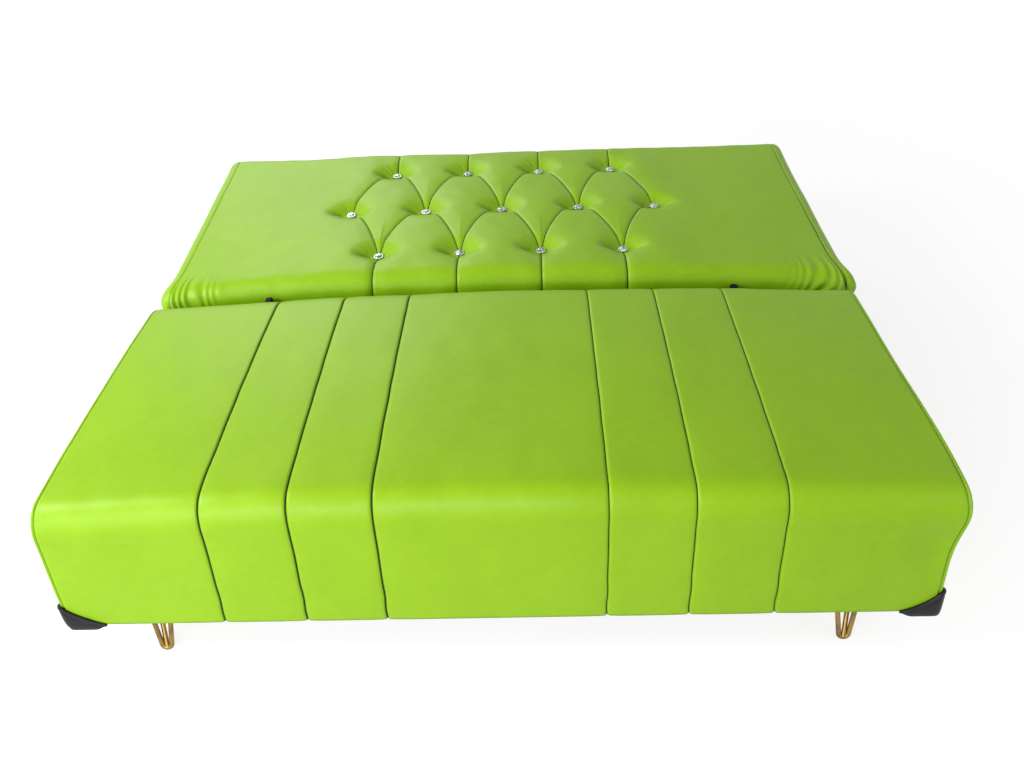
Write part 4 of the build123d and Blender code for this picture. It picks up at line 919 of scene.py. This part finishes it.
def cap_moulding(side, name, node):
    """A moulded corner cap: one closed outline carried along the cap's plan. The outline goes over a
    round bead at the rim, down the outside, round the skirt, in along the floor and up the inside."""
    x, inset, rim = cap_path()
    even = np.ones(7) / 7
    plan = [np.convolve(np.pad(line, 3, mode="edge"), even, "valid") for line in (x, inset)]
    plan = np.stack(plan, axis=-1)
    along = np.gradient(plan, axis=0)
    along /= np.linalg.norm(along, axis=1)[:, None]
    outward = np.stack([along[:, 1], -along[:, 0]], axis=-1)
    ends = np.minimum(np.arange(len(x)), np.arange(len(x))[::-1])[:, None]
    thick = CAP_THICKNESS * (0.55 + 0.45 * smooth_step(0, 12, ends))
    bead = CAP_BEAD * (0.7 + 0.3 * smooth_step(0, 12, ends))
    low = CAP_FLOOR - CAP_SKIRT * smooth_step(0, 10, ends)
    rim = rim[:, None]
    over = np.radians(np.linspace(170, -50, 10))[None]
    under = np.radians(np.linspace(0, -90, 5))[None]
    share = np.linspace(0.12, 0.95, 7)[None]
    whole = np.ones_like(rim)
    inner = CAP_FLOOR + 0.0025
    out = [thick / 2 + bead * np.cos(over), thick * np.ones_like(share),
           thick - CAP_EDGE_ROUND + CAP_EDGE_ROUND * np.cos(under),
           whole * 0.0005, whole * -0.0016, whole * (0.002 - CAP_LIP), whole * -CAP_LIP,
           whole * (0.002 - CAP_LIP), whole * 0.0006, whole * 0.0006, whole * 0.0006]
    up = [rim + bead * np.sin(over), rim + (low + CAP_EDGE_ROUND - rim) * share,
          low + CAP_EDGE_ROUND + CAP_EDGE_ROUND * np.sin(under),
          low, np.maximum(low + 0.0016, CAP_FLOOR - 0.0006), whole * (CAP_FLOOR - 0.0006),
          whole * (CAP_FLOOR + 0.001), whole * inner,
          whole * inner, inner + (rim - inner) * 0.5, rim - 0.0005]
    out, up = np.concatenate(out, axis=1), np.concatenate(up, axis=1)
    lean = front_slope(plan[:, 0])[:, None] * np.maximum(up - UNDERSIDE, 0)
    rings = np.stack([side * (plan[:, :1] + outward[:, :1] * out),
                      FRONT + plan[:, 1:] + outward[:, 1:] * out + lean, up], axis=-1)
    rings = side_fullness(rings)
    vertices, faces = shut_skin(rings, np.zeros((len(rings) - 1, rings.shape[1]), bool))
    made = piece(name, vertices, faces, FINISHES["black_plastic"], "seat")
    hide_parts(node)


def staples():
    """The staples that hold the underside cloths: flat wire crowns along every edge."""
    corners = np.array([(i, j, k) for i in (-1, 1) for j in (-1, 1) for k in (-1, 1)]) * STAPLE_HALF_SIZES
    faces = np.array([(0, 1, 3, 2), (4, 6, 7, 5), (0, 4, 5, 1),
                      (2, 3, 7, 6), (0, 2, 6, 4), (1, 5, 7, 3)])
    half = HALF - TURN_UNDER - STAPLE_INSET
    for name, body, front, rear in (("seat_staples", "seat", FRONT, SEAT_REAR),
                                    ("back_staples", "back", BACK_NEAR, BACK_FAR)):
        near = front + TURN_UNDER + STAPLE_INSET
        far = rear - TURN_UNDER - STAPLE_INSET
        random = np.random.default_rng(31)
        across = np.linspace(-half + 0.02, half - 0.02, 34)
        along = np.linspace(near + 0.03, far - 0.03, 13)
        places = [(x, y, 0.0) for x in across for y in (near, far)]
        places += [(x, y, np.pi / 2) for y in along for x in (-half, half)]
        places = np.array(places)
        places[:, :2] += random.uniform(-STAPLE_SCATTER, STAPLE_SCATTER, (len(places), 2))
        places[:, 2] += random.uniform(-STAPLE_TURN, STAPLE_TURN, len(places))
        cos, sin = np.cos(places[:, 2:]), np.sin(places[:, 2:])
        x = places[:, :1] + corners[:, 0] * cos - corners[:, 1] * sin
        y = places[:, 1:2] + corners[:, 0] * sin + corners[:, 1] * cos
        z = np.broadcast_to(UNDERSIDE - CLOTH_THICKNESS + corners[:, 2], x.shape)
        every = (faces[None] + 8 * np.arange(len(places))[:, None, None]).reshape(-1, 4)
        made = piece(name, np.stack([x, y, z], axis=-1).reshape(-1, 3), [every],
                     FINISHES["zinc_fasteners"], body, smooth=False)


# Finishes for what the construction already shapes

FINISHES = {
    "leatherette": leatherette(),
    "foam": upholstery_foam(),
    "underside_cloth": black_cloth(),
    "plywood": timber("birch_plywood", rgb(222, 190, 142), rgb(190, 150, 98), "x"),
    "pine across": timber("pine_across", rgb(232, 200, 142), rgb(196, 146, 84), "x"),
    "pine along": timber("pine_along", rgb(232, 200, 142), rgb(196, 146, 84), "y"),
    "black_plastic": moulded_plastic(),
    "gold_legs": metal("gold_lacquered_steel", rgb(158, 132, 78), rgb(98, 76, 40), 0.34),
    "button_metal": metal("polished_button_metal", rgb(226, 228, 232), rgb(176, 180, 186), 0.16),
    "zinc_fasteners": metal("zinc_plated_steel", rgb(196, 198, 200), rgb(150, 152, 156), 0.36),
    "hinge_steel": metal("black_hinge_steel", rgb(44, 45, 48), rgb(26, 27, 30), 0.48),
    "crystal": crystal(),
    "twine": thread("waxed_twine", rgb(226, 214, 184), rgb(170, 154, 118)),
}


def dress_nodes():
    """Gives every carried-over node the finish of its slot, with pine's grain along each board, and the
    hinge bolts black hinge steel in place of their zinc, painted shade so they sit dark in the gap.
    """
    for name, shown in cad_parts.items():
        slot = shown.data.materials[0].name.split(".")[0]
        if slot == "pine":
            low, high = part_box(name)
            finish = FINISHES["pine across" if high.x - low.x > high.y - low.y else "pine along"]
        # Painted shade: the hinge bolts take black hinge steel instead of their zinc, so they read as the
        # shade in the gap between seat and back.
        elif name in ("hinge_seat_bolts", "hinge_back_bolts"):
            finish = FINISHES["hinge_steel"]
        elif slot in FINISHES:
            finish = FINISHES[slot]
        else:
            continue
        shown.data.materials.clear()
        shown.data.materials.append(finish)


# Camera, light and floor

FOCAL_PIXELS = 858.396
IMAGE_WIDTH = 1024
IMAGE_HEIGHT = 768
PRINCIPAL_ROW = 330
CAMERA_PLACE = (0.105856, -1.774429, 1.786040)
CAMERA_YAW = -0.0428313
CAMERA_PITCH = 0.7097782
CAMERA_ROLL = -0.0553387
FLOOR_REACH = 30.0
FLOOR_FADE = (1.0, 2.8)
FLOOR_NEAR_WHITE = 0.62
FLOOR_LIFT = 0.45
FILL_LEVEL = 0.28
WHITE = (1, 1, 1, 1)


def photo_camera():
    """The photograph's viewpoint: yaw, pitch and roll turned into the camera's own axes."""
    yaw, pitch, roll = CAMERA_YAW, CAMERA_PITCH, CAMERA_ROLL
    forward = np.array([np.sin(yaw) * np.cos(pitch), np.cos(yaw) * np.cos(pitch), -np.sin(pitch)])
    level = np.array([np.cos(yaw), -np.sin(yaw), 0.0])
    above = np.cross(level, forward)
    right = np.cos(roll) * level + np.sin(roll) * above
    up = -np.sin(roll) * level + np.cos(roll) * above
    data = bpy.data.cameras.new("photo_camera")
    camera = placed("photo_camera", data)
    data.sensor_fit = "HORIZONTAL"
    data.sensor_width = 36.0
    data.lens = FOCAL_PIXELS / IMAGE_WIDTH * data.sensor_width
    data.shift_y = -(IMAGE_HEIGHT / 2 - PRINCIPAL_ROW) / IMAGE_WIDTH
    rows = [(*axes, place) for *axes, place in zip(right, up, -forward, CAMERA_PLACE)]
    camera.matrix_world = Matrix([*rows, (0, 0, 0, 1)])
    bpy.context.scene.camera = camera


def lamp(name, place, target, width, height, power):
    """A soft rectangular lamp at a place, turned to its target."""
    data = bpy.data.lights.new(name, "AREA")
    data.shape = "RECTANGLE"
    data.size = width
    data.size_y = height
    data.energy = power
    away = np.array(place, float) - np.array(target, float)
    away /= np.linalg.norm(away)
    side = np.cross([0, 0, 1.0], away)
    side /= np.linalg.norm(side)
    rows = [(*axes, p) for *axes, p in zip(side, np.cross(away, side), away, place)]
    placed(name, data).matrix_world = Matrix([*rows, (0, 0, 0, 1)])


def seen_directly(finish):
    """1 for rays from the camera, from gloss and through glass, else 0."""
    camera, gloss, glass = [finish.node("ShaderNodeLightPath", output=name)
                            for name in ("Is Camera Ray", "Is Glossy Ray", "Is Transmission Ray")]
    return finish.math("MAXIMUM", finish.math("MAXIMUM", camera, gloss), glass)


def white_world():
    """A white surround to the eye and in reflections, and a soft grey fill for everything else."""
    world = bpy.data.worlds.new("studio")
    bpy.context.scene.world = world
    finish = Finish(world)
    fill = finish.node("ShaderNodeBackground", {}, {"Color": WHITE, "Strength": FILL_LEVEL})
    white = finish.node("ShaderNodeBackground", {}, {"Color": WHITE, "Strength": 1.0})
    mixed = finish.node("ShaderNodeMixShader", {}, {0: seen_directly(finish), 1: fill, 2: white})
    finish.node("ShaderNodeOutputWorld", {}, {"Surface": mixed})


def pale_floor():
    """A wide pale floor that looks white, purer with distance, and keeps a light shadow."""
    finish = material("pale_floor")
    tone = finish.tint(finish.noise(3.0, 3.0), (0.90, 0.90, 0.90, 1), (0.94, 0.94, 0.94, 1))
    plain = {"Base Color": (0.5, 0.5, 0.5, 1), "Roughness": 0.85}
    pale = {**plain, "Base Color": tone, "Emission Color": WHITE, "Emission Strength": FLOOR_LIFT}
    lifted = finish.node("ShaderNodeBsdfPrincipled", {}, pale)
    matt = finish.node("ShaderNodeBsdfPrincipled", {}, plain)
    glow = finish.node("ShaderNodeEmission", {}, {"Color": WHITE, "Strength": 1.0})
    away = finish.node("ShaderNodeVectorMath", {"operation": "LENGTH"}, {0: finish.place()}, output=1)
    share = finish.spread(away, *FLOOR_FADE, FLOOR_NEAR_WHITE, 1.0)
    bright = finish.node("ShaderNodeMixShader", {}, {0: share, 1: lifted, 2: glow})
    mixed = finish.node("ShaderNodeMixShader", {}, {0: seen_directly(finish), 1: matt, 2: bright})
    finish.node("ShaderNodeOutputMaterial", {}, {"Surface": mixed})
    corners = [(x * FLOOR_REACH, y * FLOOR_REACH, 0) for x, y in ((-1, -1), (1, -1), (1, 1), (-1, 1))]
    mesh = bpy.data.meshes.new("floor")
    mesh.from_pydata(corners, [], [(0, 1, 2, 3)])
    mesh.materials.append(finish.owner)
    floor = placed("floor", mesh)


photo_camera()
white_world()
pale_floor()
lamp("window_light", (-0.95, -2.4, 1.1), (-0.40, -0.5, 0.35), width=2.4, height=1.1, power=36)
lamp("left_light", (-2.9, -0.8, 2.2), (0.1, 0.3, 0.35), width=1.2, height=1.1, power=84)
lamp("rear_glow", (-1.45, 2.9, 1.8), (-0.4, 0.3, 0.4), width=1.7, height=1.3, power=23)
lamp("right_fill", (2.4, -1.6, 1.1), (0.8, -0.6, 0.35), width=1.2, height=1.2, power=9)

seat_rings, seat_seams, seat_skin = seat_surface()
back_rings, back_seams, back_skin = back_surface()
seat_leatherette(seat_rings, seat_seams, seat_skin)
back_leatherette(back_rings, back_seams, back_skin)
foam_pad("seat_foam_block", seat_rings, seat_skin, "seat", "seat_foam")
foam_pad("back_foam_block", back_rings, back_skin, "back", "back_foam")
underside_sheet("seat_underside_cloth", "seat_dust_cloth", "seat", FRONT, SEAT_REAR)
underside_sheet("back_underside_cloth", "back_rear_cloth", "back", BACK_NEAR, BACK_FAR)
button_stones()
cap_moulding(-1, "corner_cap_moulding_left", "corner_cap_left")
cap_moulding(1, "corner_cap_moulding_right", "corner_cap_right")
staples()
dress_nodes()

bpy.context.scene.view_settings.view_transform = "Standard"
